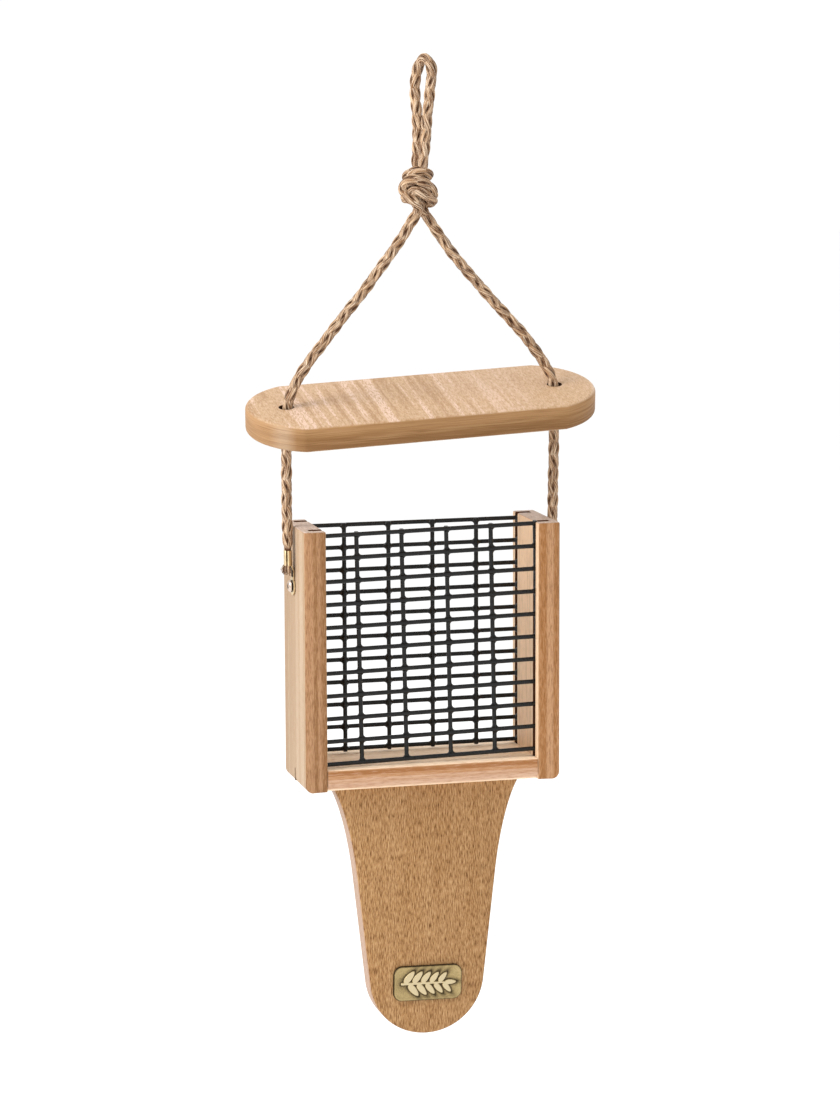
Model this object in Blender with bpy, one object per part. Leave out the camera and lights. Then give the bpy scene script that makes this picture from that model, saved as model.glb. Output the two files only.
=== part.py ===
"""Hanging suet feeder: two side boards, a floor board and a tail board of plastic lumber, two wire
grids held in saw kerfs, and a bow-ended lid that slides on a knotted rope.

Metres, +Z up, +X to the feeder's right, -Y to its front. The origin is the inner top of the rope loop,
the point where the feeder hangs. The lid stands as it was left: part way up the rope and tipped.
"""

import math

import bmesh
import bpy
from mathutils import Matrix, Vector

MM = 0.001
GAP = 0.3 * MM

# Body: boards of nominal half-inch stock, two inches deep.
BODY_X = -2.8 * MM
BOARD_T = 12.5 * MM
BOARD_DEPTH = 50.8 * MM
BOARD_TOP = -249.8 * MM
BOARD_FOOT = -394.3 * MM
INNER_HALF = 60.0 * MM
OUTER_HALF = INNER_HALF + BOARD_T
FLOOR_T = 12.0 * MM
FLOOR_TOP = BOARD_FOOT + FLOOR_T
FOOT_ROUND = 4.5 * MM
FLOOR_ROUND = 5.0 * MM
EDGE_ROUND = 0.8 * MM
KERF_NEAR = 15.3 * MM
KERF_FAR = 20.2 * MM
KERF_DEEP = 8.2 * MM

# Wire grids: half-inch by one-inch welded mesh.
WIRE_R = 1.2 * MM
ROW_PITCH = 12.7 * MM
COLUMN_PITCH = 25.4 * MM
ROWS = 11
COLUMNS = 6
ROW_Y = 18.7 * MM
COLUMN_Y = 16.8 * MM
WIRE_SIDES = 6
GRIDS = {
    "front_mesh": {"side": -1, "x": -4.6 * MM, "z": -315.5 * MM, "lean": math.radians(1.13)},
    "back_mesh": {"side": 1, "x": -4.7 * MM, "z": -316.4 * MM, "lean": 0.0},
}

# Tail board: flared top, straight taper, round foot.
TAIL_FRONT = -9.5 * MM
TAIL_BACK = 3.0 * MM
TAIL_FLARE = ((54.5, -394.6), (48.5, -403.5), (43.0, -423.5), (40.2, -447.5))
TAIL_FOOT_R = 33.3 * MM
TAIL_FOOT_Z = -507.0 * MM

# Badge on the tail.
BADGE_W = 39.6 * MM
BADGE_H = 20.0 * MM
BADGE_T = 2.0 * MM
BADGE_CORNER = 4.0 * MM
BADGE_RIM = 1.7 * MM
BADGE_RECESS = 1.0 * MM
BADGE_Z = -510.5 * MM
BADGE_LEAN = math.radians(1.2)

# Lid: its rest pose is turned about a level axis through its centre.
LID_LENGTH = 196.4 * MM
LID_WIDTH = 73.0 * MM
LID_T = 14.0 * MM
LID_END_R = 39.0 * MM
LID_ROUND = 2.2 * MM
LID_HOLE_R = 4.1 * MM
LID_HOLE_X = 76.2 * MM
LID_CENTRE = Vector((-2.4 * MM, 0.0, -186.8 * MM))
LID_TIP = math.radians(13.22)
LID_AXIS_TURN = math.radians(13.43)
LID_AXIS = Vector((math.cos(LID_AXIS_TURN), -math.sin(LID_AXIS_TURN), 0.0))

# Rope and its crimped ends.
ROPE_R = 3.1 * MM
LUG_OFFSET = 76.2 * MM
LUG_LEAN = 2.0 * MM
BARREL_TOP = -262.5 * MM
BARREL_FOOT = -270.9 * MM
BARREL_HALF_X = 2.2 * MM
BARREL_HALF_Y = 3.5 * MM
LUG_SHEET = 0.7 * MM
RING_Z = -282.8 * MM
RING_R = 5.0 * MM
RING_T = 0.8 * MM
RING_HOLE_R = 2.1 * MM
SCREW_R = 1.5 * MM
SCREW_HEAD_R = 3.5 * MM
SCREW_HEAD_H = 2.4 * MM
SCREW_DEEP = 9.5 * MM

# Staples.
STAPLE_CROWN = 6.9 * MM
STAPLE_LEG = 24.0 * MM
STAPLE_WIDE = 1.2 * MM
STAPLE_THICK = 0.9 * MM
STAPLE_PROUD = 0.1 * MM
SIDE_STAPLE_Z = -388.65 * MM
SIDE_STAPLE_Y = 0.8 * MM
TAIL_STAPLE_X = 29.3 * MM
TAIL_STAPLE_Y = -2.0 * MM

# Rope route, in millimetres: up the left strand, over the loop and down the right strand.
LOOP_ROUTE = (
    (-3.8, 3.1, -53.2),
    (-3.4, 3.0, -45.5),
    (-3.5, 2.8, -35.5),
    (-3.7, 2.8, -26.0),
    (-4.4, 3.5, -19.5),
    (-4.5, 4.0, -13.5),
    (-3.8, 4.0, -6.5),
    (-2.4, 3.0, -0.2),
    (0.0, 0.0, 3.1),
    (2.5, -3.0, -0.2),
    (2.8, -4.0, -6.5),
    (1.9, -4.0, -13.5),
    (1.4, -3.5, -19.5),
    (0.7, -2.8, -26.0),
    (0.0, -2.9, -35.5),
    (-1.0, -3.1, -45.5),
    (-2.0, -3.2, -53.2),
)
LEFT_LEG_ROUTE = (
    (-5.2, -3.2, -79.3),
    (-7.9, -3.1, -83.6),
    (-16.2, -2.8, -96.5),
    (-26.0, -2.6, -109.4),
    (-35.8, -2.4, -122.3),
    (-46.5, -2.2, -135.1),
    (-56.9, -2.0, -148.0),
    (-67.0, -1.9, -160.8),
    (-74.0, -1.8, -171.8),
    (-77.6, -1.5, -181.0),
    (-78.6, 0.3, -190.8),
)
RIGHT_LEG_ROUTE = (
    (-0.2, 3.2, -79.5),
    (3.3, 3.1, -84.6),
    (10.3, 2.8, -94.7),
    (17.7, 2.5, -104.6),
    (29.0, 2.1, -117.9),
    (40.9, 1.6, -131.3),
    (53.3, 0.9, -144.7),
    (62.7, 0.2, -156.5),
    (68.8, -0.8, -166.0),
    (72.6, -1.7, -175.0),
    (73.6, -0.6, -182.5),
)
LEFT_RUN_ROUTE = (
    (-78.6, 0.4, -191.6),
    (-78.3, 1.7, -198.5),
    (-78.4, 1.6, -207.0),
    (-78.8, 0.2, -228.0),
    (-79.0, -1.3, -248.0),
    (-79.0, -2.0, -259.4),
)
RIGHT_RUN_ROUTE = (
    (73.6, -0.5, -183.3),
    (74.1, 0.9, -190.5),
    (74.2, 1.5, -198.0),
    (74.2, 2.3, -222.0),
    (73.8, 2.4, -246.0),
    (73.4, 2.0, -259.4),
)

# Cross-sections, from the top down: height, half width, half depth, shift in X (millimetres).
KNOT_SECTIONS = (
    (-53.9, 6.4, 6.2, -4.0),
    (-57.6, 8.4, 7.8, -4.3),
    (-62.0, 10.2, 9.0, -5.6),
    (-67.0, 10.7, 9.4, -5.4),
    (-72.0, 9.4, 8.6, -4.8),
    (-77.1, 5.6, 6.2, -4.2),
)
ROPE_END_SECTIONS = (
    (-259.7, 3.1, 3.1, 0.0),
    (-261.2, 2.5, 3.0, 0.0),
    (-262.3, 1.2, 2.5, 0.0),
    (-270.9, 1.2, 2.5, 0.0),
    (-272.0, 1.6, 2.9, -0.5),
    (-276.5, 1.9, 3.4, -0.6),
)


# ---------------------------------------------------------------- helpers


def make_material(name, colour, roughness, metallic=0.0):
    material = bpy.data.materials.new(name)
    material.use_nodes = True
    shader = material.node_tree.nodes["Principled BSDF"]
    shader.inputs["Base Color"].default_value = (*colour, 1.0)
    shader.inputs["Roughness"].default_value = roughness
    shader.inputs["Metallic"].default_value = metallic
    material.diffuse_color = (*colour, 1.0)
    return material


def add_object(name, bm, material, place=None, smooth=False):
    """Turn a bmesh into a named object at the given transform."""
    bmesh.ops.recalc_face_normals(bm, faces=bm.faces)
    mesh = bpy.data.meshes.new(name)
    bm.to_mesh(mesh)
    bm.free()
    if smooth:
        mesh.shade_smooth()
        mesh.set_sharp_from_angle(angle=math.radians(35))
    obj = bpy.data.objects.new(name, mesh)
    bpy.context.scene.collection.objects.link(obj)
    if material is not None:
        mesh.materials.append(material)
    if place is not None:
        obj.matrix_world = place
    return obj


def add_cutter(name, bm, target, place=None):
    """A hidden helper that is cut from its target."""
    cutter = add_object(name, bm, None, place)
    cutter.hide_render = True
    cutter.display_type = "WIRE"
    cut = target.modifiers.new(name, "BOOLEAN")
    cut.operation = "DIFFERENCE"
    cut.solver = "EXACT"
    cut.object = cutter
    return cutter


def add_union(name, bm, target, place=None):
    """A hidden helper that is joined to its target."""
    helper = add_object(name, bm, None, place)
    helper.hide_render = True
    helper.display_type = "WIRE"
    join = target.modifiers.new(name, "BOOLEAN")
    join.operation = "UNION"
    join.solver = "EXACT"
    join.object = helper
    return helper


def box(low, high):
    bm = bmesh.new()
    centre = (Vector(low) + Vector(high)) / 2
    size = Vector(high) - Vector(low)
    matrix = Matrix.Translation(centre) @ Matrix.Diagonal((*size, 1.0))
    bmesh.ops.create_cube(bm, size=1.0, matrix=matrix)
    return bm


def prism(outline, along, low, high):
    """Extrude a flat outline along X, Y or Z, from low to high."""
    bm = bmesh.new()

    def corner(point):
        first, second = point
        return {
            "X": (low, first, second),
            "Y": (first, low, second),
            "Z": (first, second, low),
        }[along]

    face = bm.faces.new([bm.verts.new(corner(point)) for point in outline])
    step = {"X": (1, 0, 0), "Y": (0, 1, 0), "Z": (0, 0, 1)}[along]
    grown = bmesh.ops.extrude_face_region(bm, geom=[face])
    moved = [item for item in grown["geom"] if isinstance(item, bmesh.types.BMVert)]
    bmesh.ops.translate(bm, verts=moved, vec=Vector(step) * (high - low))
    return bm


def arc(centre, radius, start, end, count):
    """Points on a circle, from the start angle to the end angle in degrees."""
    points = []
    for index in range(count + 1):
        angle = math.radians(start + (end - start) * index / count)
        points.append((centre[0] + radius * math.cos(angle), centre[1] + radius * math.sin(angle)))
    return points


def rounded_rectangle(half_width, half_height, corner, count=4):
    outline = []
    for index, (side_x, side_y) in enumerate(((1, 1), (-1, 1), (-1, -1), (1, -1))):
        centre = (side_x * (half_width - corner), side_y * (half_height - corner))
        outline += arc(centre, corner, 90 * index, 90 * index + 90, count)
    return outline


def cylinder(radius, length, sides, axis="Z", centre=(0, 0, 0)):
    bm = bmesh.new()
    turn = {
        "X": Matrix.Rotation(math.radians(90), 4, "Y"),
        "Y": Matrix.Rotation(math.radians(90), 4, "X"),
        "Z": Matrix.Identity(4),
    }[axis]
    bmesh.ops.create_cone(
        bm,
        cap_ends=True,
        segments=sides,
        radius1=radius,
        radius2=radius,
        depth=length,
        matrix=Matrix.Translation(centre) @ turn,
    )
    return bm


def merge(target, *sources):
    """Copy the geometry of the sources into the target bmesh."""
    for source in sources:
        mesh = bpy.data.meshes.new("scratch")
        source.to_mesh(mesh)
        source.free()
        target.from_mesh(mesh)
        bpy.data.meshes.remove(mesh)
    return target


def loft(sections, centre_x, centre_y, mirror=1, sides=16):
    """A closed body through level ovals; each section is (z, half x, half y, shift x) in millimetres."""
    bm = bmesh.new()
    rings = []
    for height, half_x, half_y, shift in sections:
        ring = []
        for index in range(sides):
            angle = 2 * math.pi * index / sides
            x = centre_x + mirror * (shift * MM + half_x * MM * math.cos(angle))
            y = centre_y + half_y * MM * math.sin(angle)
            ring.append(bm.verts.new((x, y, height * MM)))
        rings.append(ring)
    for upper, lower in zip(rings, rings[1:]):
        for index in range(sides):
            after = (index + 1) % sides
            bm.faces.new((upper[index], upper[after], lower[after], lower[index]))
    bm.faces.new(rings[0])
    bm.faces.new(rings[-1])
    return bm


def smooth_route(points, spacing):
    """Read evenly spaced points from a Catmull-Rom curve through the given millimetre points."""
    route = [Vector(point) * MM for point in points]
    route = [2 * route[0] - route[1]] + route + [2 * route[-1] - route[-2]]
    fine = []
    for before, start, end, after in zip(route, route[1:], route[2:], route[3:]):
        for step in range(12):
            t = step / 12
            fine.append(
                0.5
                * (
                    2 * start
                    + (end - before) * t
                    + (2 * before - 5 * start + 4 * end - after) * t**2
                    + (3 * start - before - 3 * end + after) * t**3
                )
            )
    fine.append(route[-2])
    lengths = [0.0]
    for start, end in zip(fine, fine[1:]):
        lengths.append(lengths[-1] + (end - start).length)
    count = max(2, round(lengths[-1] / spacing))
    even = []
    cursor = 0
    for index in range(count + 1):
        wanted = lengths[-1] * index / count
        while cursor < len(fine) - 2 and lengths[cursor + 1] < wanted:
            cursor += 1
        span = lengths[cursor + 1] - lengths[cursor]
        even.append(fine[cursor].lerp(fine[cursor + 1], (wanted - lengths[cursor]) / span))
    return even


def rope_tube(name, points, spacing, material):
    curve = bpy.data.curves.new(name, "CURVE")
    curve.dimensions = "3D"
    curve.bevel_depth = ROPE_R
    curve.bevel_resolution = 3
    curve.use_fill_caps = True
    route = smooth_route(points, spacing)
    spline = curve.splines.new("POLY")
    spline.points.add(len(route) - 1)
    for spot, point in zip(spline.points, route):
        spot.co = (*point, 1.0)
    curve.materials.append(material)
    obj = bpy.data.objects.new(name, curve)
    bpy.context.scene.collection.objects.link(obj)
    return obj


def soften(obj):
    """A small round on every sharp board edge."""
    bevel = obj.modifiers.new("edge_round", "BEVEL")
    bevel.width = EDGE_ROUND
    bevel.segments = 1
    bevel.limit_method = "ANGLE"
    bevel.angle_limit = math.radians(50)


# ---------------------------------------------------------------- boards


def round_edges(bm, test, radius, segments):
    edges = [edge for edge in bm.edges if test(*(vert.co for vert in edge.verts))]
    bmesh.ops.bevel(bm, geom=edges, offset=radius, segments=segments, profile=0.5, affect="EDGES")


def add_side_board(name, side, material):
    """A board with two full-height kerfs in its inner face and a rounded outer foot."""
    outer = BODY_X + side * OUTER_HALF
    inner = BODY_X + side * INNER_HALF
    near, far = sorted((inner, outer))
    half = BOARD_DEPTH / 2
    bm = box((near, -half, BOARD_FOOT), (far, half, BOARD_TOP))

    def outer_foot(first, second):
        return all(abs(p.x - outer) < 1e-6 and abs(p.z - BOARD_FOOT) < 1e-6 for p in (first, second))

    round_edges(bm, outer_foot, FOOT_ROUND, 4)
    board = add_object(name, bm, material)
    soften(board)
    kerfs = bmesh.new()
    bottom_of_kerf = inner + side * KERF_DEEP
    mouth = inner - side * 2 * MM
    near, far = sorted((bottom_of_kerf, mouth))
    for back in (-1, 1):
        low_y, high_y = sorted((back * KERF_NEAR, back * KERF_FAR))
        merge(kerfs, box((near, low_y, BOARD_FOOT - MM), (far, high_y, BOARD_TOP + MM)))
    add_cutter(name + "_kerfs", kerfs, board)
    return board


def add_bottom_board(material):
    half_x = INNER_HALF - GAP
    half_y = BOARD_DEPTH / 2
    bm = box((BODY_X - half_x, -half_y, BOARD_FOOT), (BODY_X + half_x, half_y, FLOOR_TOP))

    def long_foot(first, second):
        return abs(first.z - BOARD_FOOT) < 1e-6 and abs(second.z - BOARD_FOOT) < 1e-6 and first.y == second.y

    round_edges(bm, long_foot, FLOOR_ROUND, 4)
    board = add_object("bottom_board", bm, material)
    soften(board)
    return board


def tail_outline():
    """Right half: a Bezier flare, a straight taper and a quarter of the round foot; then its mirror."""
    a, b, c, d = (Vector(point) * MM for point in TAIL_FLARE)
    right = []
    for index in range(9):
        t = index / 8
        right.append(a * (1 - t) ** 3 + b * 3 * t * (1 - t) ** 2 + c * 3 * t * t * (1 - t) + d * t**3)
    offset = right[-1] - Vector((0.0, TAIL_FOOT_Z))
    tangent = math.degrees(math.atan2(offset.y, offset.x) - math.acos(TAIL_FOOT_R / offset.length))
    foot = arc((0.0, TAIL_FOOT_Z), TAIL_FOOT_R, tangent, -90, 8)
    right += [Vector(point) for point in foot]
    left = [Vector((-point.x, point.y)) for point in reversed(right[:-1])]
    return [(BODY_X + point.x, point.y) for point in right + left]


def add_tail_board(material):
    board = add_object("tail_board", prism(tail_outline(), "Y", TAIL_FRONT, TAIL_BACK), material)
    soften(board)
    return board


def add_badge(material):
    """A cast plate with a raised rim round a sunk field, and a leaf sprig standing in the field."""
    place = Matrix.Translation((BODY_X, TAIL_FRONT - GAP, BADGE_Z)) @ Matrix.Rotation(BADGE_LEAN, 4, "Y")
    plate = rounded_rectangle(BADGE_W / 2, BADGE_H / 2, BADGE_CORNER)
    badge = add_object("badge_plate", prism(plate, "Y", -BADGE_T, 0.0), material, place)
    inner = rounded_rectangle(BADGE_W / 2 - BADGE_RIM, BADGE_H / 2 - BADGE_RIM, BADGE_CORNER - BADGE_RIM)
    field = prism(inner, "Y", -BADGE_T - MM, -BADGE_T + BADGE_RECESS)
    add_cutter("badge_field", field, badge, place)
    low = -BADGE_T + 0.3 * MM
    high = -BADGE_T + BADGE_RECESS + 0.4 * MM
    sprig = prism(rounded_rectangle(13 * MM, 0.5 * MM, 0.4 * MM, 2), "Y", low, high)
    add_union("badge_stem", sprig, badge, place)
    for index in range(6):
        side = 1 if index % 2 else -1
        angle = math.radians(38 * side)
        root = Vector((-10 * MM + 3.9 * MM * index, 0.0))
        leaf = []
        for along, across in ((0.0, 0.0), (2.0, 1.3), (4.2, 1.5), (6.8, 0.0), (4.2, -1.5), (2.0, -1.3)):
            x = root.x + (along * math.cos(angle) - across * math.sin(angle)) * MM
            z = root.y + (along * math.sin(angle) + across * math.cos(angle)) * MM
            leaf.append((x, z))
        add_union(f"badge_leaf_{index}", prism(leaf, "Y", low - 0.05 * MM * (index + 1), high), badge, place)
    return badge


# ---------------------------------------------------------------- wire grids


def add_grid(name, side, x, z, lean, material):
    """Horizontal wires on the outside, welded to vertical wires on the inside."""
    place = Matrix.Translation((x, 0.0, z)) @ Matrix.Rotation(-lean, 4, "Y")
    half_row = COLUMN_PITCH * (COLUMNS - 1) / 2 + 1.2 * MM
    half_column = ROW_PITCH * (ROWS - 1) / 2 + 1.6 * MM
    rows = bmesh.new()
    for index in range(ROWS):
        height = (index - (ROWS - 1) / 2) * ROW_PITCH
        merge(rows, cylinder(WIRE_R, 2 * half_row, WIRE_SIDES, "X", (0.0, side * ROW_Y, height)))
    columns = bmesh.new()
    for index in range(COLUMNS):
        across = (index - (COLUMNS - 1) / 2) * COLUMN_PITCH
        merge(columns, cylinder(WIRE_R, 2 * half_column, WIRE_SIDES, "Z", (across, side * COLUMN_Y, 0.0)))
    grid = add_object(name, rows, material, place, smooth=True)
    add_union(name + "_columns", columns, grid, place)
    return grid


# ---------------------------------------------------------------- lid


def add_lid(material):
    """A slab with bowed ends, rounded edges and two rope holes, turned about its tipping axis.

    The ends are arcs a little flatter than half circles, so a shallow corner is left on each side.
    """
    place = Matrix.Translation(LID_CENTRE) @ Matrix.Rotation(LID_TIP, 4, LID_AXIS)
    middle = LID_LENGTH / 2 - LID_END_R
    reach = math.degrees(math.asin(LID_WIDTH / 2 / LID_END_R))
    outline = arc((middle, 0.0), LID_END_R, -reach, reach, 14)
    outline += arc((-middle, 0.0), LID_END_R, 180 - reach, 180 + reach, 14)
    bm = prism(outline, "Z", -LID_T / 2, LID_T / 2)
    round_edges(bm, lambda first, second: abs(first.z - second.z) < 1e-6, LID_ROUND, 2)
    lid = add_object("lid", bm, material, place, smooth=True)
    holes = bmesh.new()
    for side in (-1, 1):
        merge(holes, cylinder(LID_HOLE_R, 2 * LID_T, 24, "Z", (side * LID_HOLE_X, 0.0, 0.0)))
    add_cutter("lid_holes", holes, lid, place)
    return lid


# ---------------------------------------------------------------- lugs, screws and staples


def lug_blank():
    """The left lug: an open barrel round the rope, an offset tab and a flat ring on the board."""
    centre_x = BODY_X - LUG_OFFSET
    face = BODY_X - OUTER_HALF - GAP
    ring_x = (face - RING_T, face)
    slit = 8
    outer = []
    inner = []
    for index in range(25):
        angle = math.radians(180 + slit + (360 - 2 * slit) * index / 24)
        x, y = math.cos(angle), math.sin(angle)
        outer.append((centre_x + BARREL_HALF_X * x, -LUG_LEAN + BARREL_HALF_Y * y))
        thin_x = (BARREL_HALF_X - LUG_SHEET) * x
        thin_y = (BARREL_HALF_Y - LUG_SHEET) * y
        inner.append((centre_x + thin_x, -LUG_LEAN + thin_y))
    barrel = prism(outer + inner[::-1], "Z", BARREL_FOOT, BARREL_TOP)
    wall = centre_x + BARREL_HALF_X
    strip = [
        (wall - LUG_SHEET + 0.05 * MM, BARREL_FOOT + 3.0 * MM),
        (wall - 0.05 * MM, BARREL_FOOT + 3.0 * MM),
        (wall - 0.05 * MM, BARREL_FOOT - 0.2 * MM),
        (ring_x[1] - 0.05 * MM, BARREL_FOOT - 2.6 * MM),
        (ring_x[1] - 0.05 * MM, RING_Z + RING_R - 2.0 * MM),
        (ring_x[0] + 0.05 * MM, RING_Z + RING_R - 2.0 * MM),
        (ring_x[0] + 0.05 * MM, BARREL_FOOT - 2.4 * MM),
        (wall - LUG_SHEET + 0.05 * MM, BARREL_FOOT),
    ]
    tab = prism(strip, "Y", -LUG_LEAN - 1.3 * MM, -LUG_LEAN + 2.6 * MM)
    middle = ((ring_x[0] + ring_x[1]) / 2, 0.0, RING_Z)
    ring = cylinder(RING_R, RING_T, 24, "X", middle)
    hole = cylinder(RING_HOLE_R, 4 * RING_T, 16, "X", middle)
    return barrel, tab, ring, hole


def half_turn(side):
    """Nothing for the left side; half a turn about the body's upright axis for the right side."""
    if side < 0:
        return Matrix.Identity(4)
    return Matrix.Translation((2 * BODY_X, 0.0, 0.0)) @ Matrix.Rotation(math.pi, 4, "Z")


def add_lug(name, side, material):
    barrel, tab, ring, hole = lug_blank()
    place = half_turn(side)
    lug = add_object(name, barrel, material, place)
    add_union(name + "_tab", tab, lug, place)
    add_union(name + "_ring", ring, lug, place)
    add_cutter(name + "_hole", hole, lug, place)
    return lug


def add_screw(name, side, board, material):
    """A pan-head screw through the lug's ring, in a hole of its own in the board."""
    face = BODY_X - OUTER_HALF
    seat = face - 2 * GAP - RING_T
    profile = [
        (0.0, seat - SCREW_HEAD_H),
        (1.6 * MM, seat - SCREW_HEAD_H + 0.15 * MM),
        (2.8 * MM, seat - SCREW_HEAD_H + 0.8 * MM),
        (SCREW_HEAD_R, seat - 0.7 * MM),
        (SCREW_HEAD_R, seat),
        (SCREW_R, seat),
        (SCREW_R, face + SCREW_DEEP - 2.0 * MM),
        (0.0, face + SCREW_DEEP),
    ]
    bm = bmesh.new()
    verts = [bm.verts.new((x, radius, 0.0)) for radius, x in profile]
    edges = [bm.edges.new(pair) for pair in zip(verts, verts[1:])]
    spun = {"geom": verts + edges, "cent": (0, 0, 0), "axis": (1, 0, 0), "angle": 2 * math.pi, "steps": 16}
    bmesh.ops.spin(bm, use_merge=True, **spun)
    bmesh.ops.remove_doubles(bm, verts=bm.verts, dist=1e-6)
    place = half_turn(side) @ Matrix.Translation((0.0, 0.0, RING_Z))
    screw = add_object(name, bm, material, place, smooth=True)
    middle = (face + SCREW_DEEP / 2, 0.0, 0.0)
    hole = cylinder(SCREW_R + GAP, SCREW_DEEP + 2 * MM, 16, "X", middle)
    add_cutter(name + "_hole", hole, board, place)
    return screw


def staple_outline(grow=0.0):
    """A U that opens along +X: crown from -crown/2 to crown/2, legs of their full length."""
    half = STAPLE_CROWN / 2 + grow
    inner = STAPLE_CROWN / 2 - STAPLE_THICK - grow
    crown = -grow
    return [
        (crown, -half),
        (STAPLE_LEG + grow, -half),
        (STAPLE_LEG + grow, -inner),
        (STAPLE_THICK + grow, -inner),
        (STAPLE_THICK + grow, inner),
        (STAPLE_LEG + grow, inner),
        (STAPLE_LEG + grow, half),
        (crown, half),
    ]


def add_staple(name, place, boards, material):
    """A staple driven through one board into the next, each with a slot that clears it."""
    half = STAPLE_WIDE / 2
    staple = add_object(name, prism(staple_outline(), "Y", -half, half), material, place)
    for board in boards:
        slot = prism(staple_outline(GAP), "Y", -half - GAP, half + GAP)
        add_cutter(f"{name}_slot_{board.name}", slot, board, place)
    return staple


# ---------------------------------------------------------------- assembly


def main():
    for obj in list(bpy.data.objects):
        bpy.data.objects.remove(obj, do_unlink=True)

    board = make_material("plastic_lumber", (0.50, 0.33, 0.19), 0.62)
    board_dark = make_material("plastic_lumber_dark", (0.40, 0.25, 0.13), 0.62)
    coated_wire = make_material("coated_wire", (0.012, 0.012, 0.013), 0.28)
    rope = make_material("rope_fibre", (0.55, 0.39, 0.24), 0.85)
    brass = make_material("brass", (0.62, 0.45, 0.20), 0.32, 1.0)
    old_brass = make_material("antique_brass", (0.36, 0.25, 0.12), 0.45, 1.0)
    zinc = make_material("zinc_steel", (0.66, 0.66, 0.64), 0.30, 1.0)

    left = add_side_board("left_side_board", -1, board)
    right = add_side_board("right_side_board", 1, board)
    bottom = add_bottom_board(board)
    tail = add_tail_board(board_dark)
    add_badge(old_brass)
    for name, grid in GRIDS.items():
        add_grid(name, grid["side"], grid["x"], grid["z"], grid["lean"], coated_wire)
    add_lid(board)

    for name, side, panel in (("left", -1, left), ("right", 1, right)):
        add_lug(name + "_lug", side, brass)
        add_screw(name + "_lug_screw", side, panel, zinc)
        crown = Matrix.Translation((BODY_X - OUTER_HALF - STAPLE_PROUD, SIDE_STAPLE_Y, SIDE_STAPLE_Z))
        add_staple(name + "_staple", half_turn(side) @ crown, (panel, bottom), zinc)

    for name, side in (("tail_staple_left", -1), ("tail_staple_right", 1)):
        spot = (BODY_X + side * TAIL_STAPLE_X, TAIL_STAPLE_Y, FLOOR_TOP + STAPLE_PROUD)
        down = Matrix.Translation(spot) @ Matrix.Rotation(math.radians(90), 4, "Y")
        add_staple(name, down, (bottom, tail), zinc)

    rope_tube("rope_loop", LOOP_ROUTE, 4.5 * MM, rope)
    add_object("rope_knot", loft(KNOT_SECTIONS, 0.0, 0.0, sides=20), rope, smooth=True)
    rope_tube("left_rope_leg", LEFT_LEG_ROUTE, 8.0 * MM, rope)
    rope_tube("right_rope_leg", RIGHT_LEG_ROUTE, 8.0 * MM, rope)
    rope_tube("left_rope_run", LEFT_RUN_ROUTE, 9.0 * MM, rope)
    rope_tube("right_rope_run", RIGHT_RUN_ROUTE, 9.0 * MM, rope)
    for name, side in (("left_rope_end", -1), ("right_rope_end", 1)):
        end = loft(ROPE_END_SECTIONS, BODY_X + side * LUG_OFFSET, side * LUG_LEAN, mirror=-side)
        add_object(name, end, rope, smooth=True)


main()
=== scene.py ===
"""Looks of the hanging suet feeder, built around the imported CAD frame. Metres, +Z up, front at -Y."""

import math
import random

import bmesh
import bpy
from mathutils import Matrix, Vector
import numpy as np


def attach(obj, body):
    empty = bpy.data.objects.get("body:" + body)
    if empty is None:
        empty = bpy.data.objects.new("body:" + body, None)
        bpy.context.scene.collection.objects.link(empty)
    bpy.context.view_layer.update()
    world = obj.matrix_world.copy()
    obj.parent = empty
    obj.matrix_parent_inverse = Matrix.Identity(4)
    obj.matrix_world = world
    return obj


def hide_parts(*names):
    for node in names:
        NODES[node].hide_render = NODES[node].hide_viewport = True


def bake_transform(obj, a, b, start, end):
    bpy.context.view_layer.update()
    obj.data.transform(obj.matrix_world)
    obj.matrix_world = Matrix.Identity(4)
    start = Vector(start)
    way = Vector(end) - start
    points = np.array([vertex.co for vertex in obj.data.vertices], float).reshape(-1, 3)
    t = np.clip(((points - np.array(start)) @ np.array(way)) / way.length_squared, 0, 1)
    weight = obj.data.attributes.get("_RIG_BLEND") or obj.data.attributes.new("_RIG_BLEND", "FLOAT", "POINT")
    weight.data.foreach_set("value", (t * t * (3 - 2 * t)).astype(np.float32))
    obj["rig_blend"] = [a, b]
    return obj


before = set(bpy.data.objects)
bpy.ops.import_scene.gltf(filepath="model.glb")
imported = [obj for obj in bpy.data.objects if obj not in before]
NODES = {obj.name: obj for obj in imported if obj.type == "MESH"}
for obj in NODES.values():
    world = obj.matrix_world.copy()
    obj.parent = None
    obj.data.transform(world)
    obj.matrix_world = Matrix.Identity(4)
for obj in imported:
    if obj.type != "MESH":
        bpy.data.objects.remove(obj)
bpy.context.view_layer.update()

MM = 0.001

# Body, as in the CAD.
BODY_X = -2.8 * MM
BOARD_DEPTH = 50.8 * MM
BOARD_TOP = -249.8 * MM
BOARD_FOOT = -394.3 * MM
INNER_HALF = 60.0 * MM
OUTER_HALF = 72.5 * MM
FLOOR_TOP = -382.3 * MM
KERF_NEAR = 15.3 * MM
KERF_FAR = 20.2 * MM
KERF_DEEP = 8.2 * MM
EDGE_ROUND = 0.9 * MM
SIDE_FOOT_ROUND = 4.5 * MM
FLOOR_FOOT_ROUND = 5.0 * MM

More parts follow.
